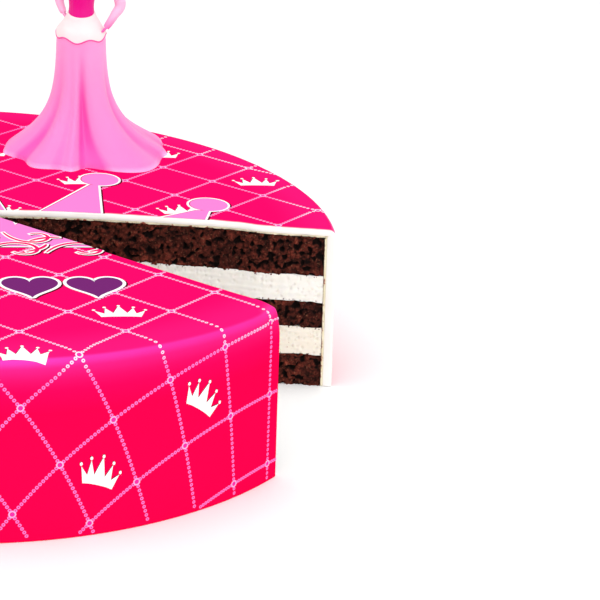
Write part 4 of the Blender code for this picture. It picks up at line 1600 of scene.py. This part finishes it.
def make_hair(material):
    """Hair combed back from the brow into a bun. Its rings run about the line from the head to the bun."""
    turns = turns_about(240)
    lean = math.atan2(2.4, 7.7)
    pole = np.array((0, math.cos(lean), math.sin(lean)))
    up, aside = np.array((0, -math.sin(lean), math.cos(lean))), np.array((1.0, 0, 0))
    edge = np.radians(101 + 25 * np.cos(turns) - 9 * np.cos(2 * turns))
    strands = 0.11 * np.sin(34 * turns + 1.3 * np.sin(3 * turns)) + 0.07 * np.sin(57 * turns + 2.0)

    def ways_at(angle):
        """Directions at an angle from the pole, one for each turn about it."""
        angle = np.zeros(len(turns)) + angle
        around = np.cos(turns)[:, None] * up + np.sin(turns)[:, None] * aside
        return np.cos(angle)[:, None] * pole + np.sin(angle)[:, None] * around

    rings = []
    tucked = [(1.0, 1.55), (1.005, 0.7), (0.99, 0.2)]
    for share, depth in tucked + [(share, 0.0) for share in np.linspace(0.96, 0.06, 44)]:
        ways = ways_at(edge * share)
        reach = 1 / np.linalg.norm(ways / HAIR_RADII, axis=1)
        reach = reach + (strands * min(1.0, share * 3) - depth) * MM
        rings.append(HAIR_MIDDLE + ways * reach[:, None])
    lathe("hair", rings, material, "hair", "figure_hair")
    rings = []
    for share in np.linspace(0.04, 0.96, 40):
        angle = math.pi * (1 - share)
        ways = ways_at(angle)
        coil = 1 - 0.025 * (1 + np.cos(3 * turns + 5.5 * angle)) - 0.012 * np.cos(24 * angle + 3 * turns)
        rings.append(BUN_MIDDLE + ways * (coil / np.linalg.norm(ways / BUN_RADII, axis=1))[:, None])
    lathe("hair_bun", rings, material, "hair")


def make_tiara(gold, gem):
    steps, centre = 144, np.array((0, 0.9, 0)) * MM
    rings, peaks = [], []
    for i in range(steps + 1):
        along = 2 * i / steps - 1
        turn = math.radians(-90 + 96 * along)
        crest = 1.0 + 3.3 * (1 - along**2) * abs(math.cos(1.5 * math.pi * along)) ** 1.4
        out = np.array((math.cos(turn), 1.04 * math.sin(turn), 0))
        corners = ((6.95, -0.2), (7.9, -0.2), (8.35 - 0.02 * crest, crest), (7.75 - 0.02 * crest, crest))
        rings.append([centre + out * r * MM + np.array((0, 0, (TIARA_FOOT + z) * MM)) for r, z in corners])
        if i in (steps // 6, steps // 2, steps - steps // 6):
            peaks.append(centre + out * TIARA_REACH * MM + np.array((0, 0, (TIARA_FOOT - 0.55 + crest) * MM)))
    lathe("tiara", rings, gold, "tiara", "figure_tiara")
    for number, place in enumerate(peaks):
        lathe(f"tiara_ball_{number}", blob(place, np.full(3, 0.62 * MM)), gold, "tiara")
    front = centre + np.array((0, -8.15 * 1.04, 90.7)) * MM
    lathe("tiara_gem", blob(front, np.array((0.6, 0.4, 0.85)) * MM), gem, "tiara")


class CAKE_OT_figure(bpy.types.Operator):
    """Makes the small princess figure"""

    bl_idname = "cake.figure"
    bl_label = "Princess figure"

    def execute(self, context):
        settings = figure()
        make_gown(gown_material())
        make_sash(
            make_material("Sash white", settings.sash, 0.45, specular=0.35),
            make_material("Seam pink", settings.seam, 0.45),
        )
        make_bodice(make_material("Bodice magenta", settings.bodice, 0.4, specular=0.2))
        make_arms(sleeve_material())
        make_head(make_material("Doll skin", settings.skin, 0.45, specular=0.35))
        make_face()
        make_hair(make_material("Hair brown", settings.hair, 0.42, specular=0.4))
        make_tiara(
            make_material("Tiara gold", settings.tiara, 0.25, metallic=0.85),
            make_material("Tiara gem", settings.gem, 0.08, coat=0.6),
        )
        return {"FINISHED"}


class CAKE_OT_stage(bpy.types.Operator):
    """Makes the pale floor, the soft lights and the camera"""

    bl_idname = "cake.stage"
    bl_label = "Stage"

    def execute(self, context):
        settings = context.scene.cake_stage
        corners = [(x * FLOOR_HALF, y * FLOOR_HALF, 0) for x, y in ((-1, -1), (1, -1), (1, 1), (-1, 1))]
        mesh = new_mesh("floor", corners, [(0, 1, 2, 3)])
        floor = new_object("floor", mesh, make_material("Floor", settings.floor, 0.6, specular=0.2))
        world = bpy.data.worlds.new("Studio")
        world.use_nodes = True
        background = world.node_tree.nodes["Background"].inputs
        background["Color"].default_value = (1, 1, 1, 1)
        background["Strength"].default_value = settings.sky
        context.scene.world = world
        lights = (
            ("key", settings.key, 1.1, (-0.15, -0.25, 1.15)),
            ("fill", settings.fill, 0.9, (0.35, -1.3, 0.55)),
        )
        for name, power, size, place in lights:
            light = bpy.data.lights.new(name, "AREA")
            light.energy, light.size = power, size
            lamp = bpy.data.objects.new(name, light)
            lamp.location = place
            aim = Vector((0.0, 0.0, 0.04)) - lamp.location
            lamp.rotation_euler = aim.to_track_quat("-Z", "Y").to_euler()
            context.scene.collection.objects.link(lamp)
        camera = bpy.data.objects.new("camera", bpy.data.cameras.new("camera"))
        back = CAMERA_RIGHT.cross(CAMERA_UP)
        turn = Matrix((CAMERA_RIGHT, CAMERA_UP, back)).transposed().to_4x4()
        turn.translation = CAMERA_PLACE
        camera.matrix_world = turn
        camera.data.lens = settings.lens
        camera.data.sensor_width = 36
        camera.data.clip_start = 0.01
        context.scene.collection.objects.link(camera)
        context.scene.camera = camera
        context.scene.view_settings.view_transform = "Standard"
        return {"FINISHED"}


class CAKE_PT_panel(bpy.types.Panel):
    """Lists the pieces of the cake"""

    bl_idname = "CAKE_PT_panel"
    bl_label = "Princess cake"
    bl_space_type = "VIEW_3D"
    bl_region_type = "UI"
    bl_category = "Cake"

    def draw(self, context):
        for operator in OPERATORS:
            self.layout.operator(operator.bl_idname)


GROUPS = (
    ("cake_sizes", CakeSizes),
    ("cake_print", CakePrint),
    ("cake_crumb", CakeCrumb),
    ("cake_figure", CakeFigure),
    ("cake_stage", CakeStage),
)
OPERATORS = (CAKE_OT_icing, CAKE_OT_filling, CAKE_OT_lattice, CAKE_OT_motifs, CAKE_OT_figure, CAKE_OT_stage)


def register():
    for name, group in GROUPS:
        bpy.utils.register_class(group)
        setattr(bpy.types.Scene, name, PointerProperty(type=group))
    for operator in OPERATORS:
        bpy.utils.register_class(operator)
    bpy.utils.register_class(CAKE_PT_panel)


def unregister():
    bpy.utils.unregister_class(CAKE_PT_panel)
    for operator in reversed(OPERATORS):
        bpy.utils.unregister_class(operator)
    for name, group in reversed(GROUPS):
        delattr(bpy.types.Scene, name)
        bpy.utils.unregister_class(group)


def main():
    register()
    for operator in OPERATORS:
        family, name = operator.bl_idname.split(".")
        getattr(getattr(bpy.ops, family), name)()


if __name__ == "__main__":
    main()
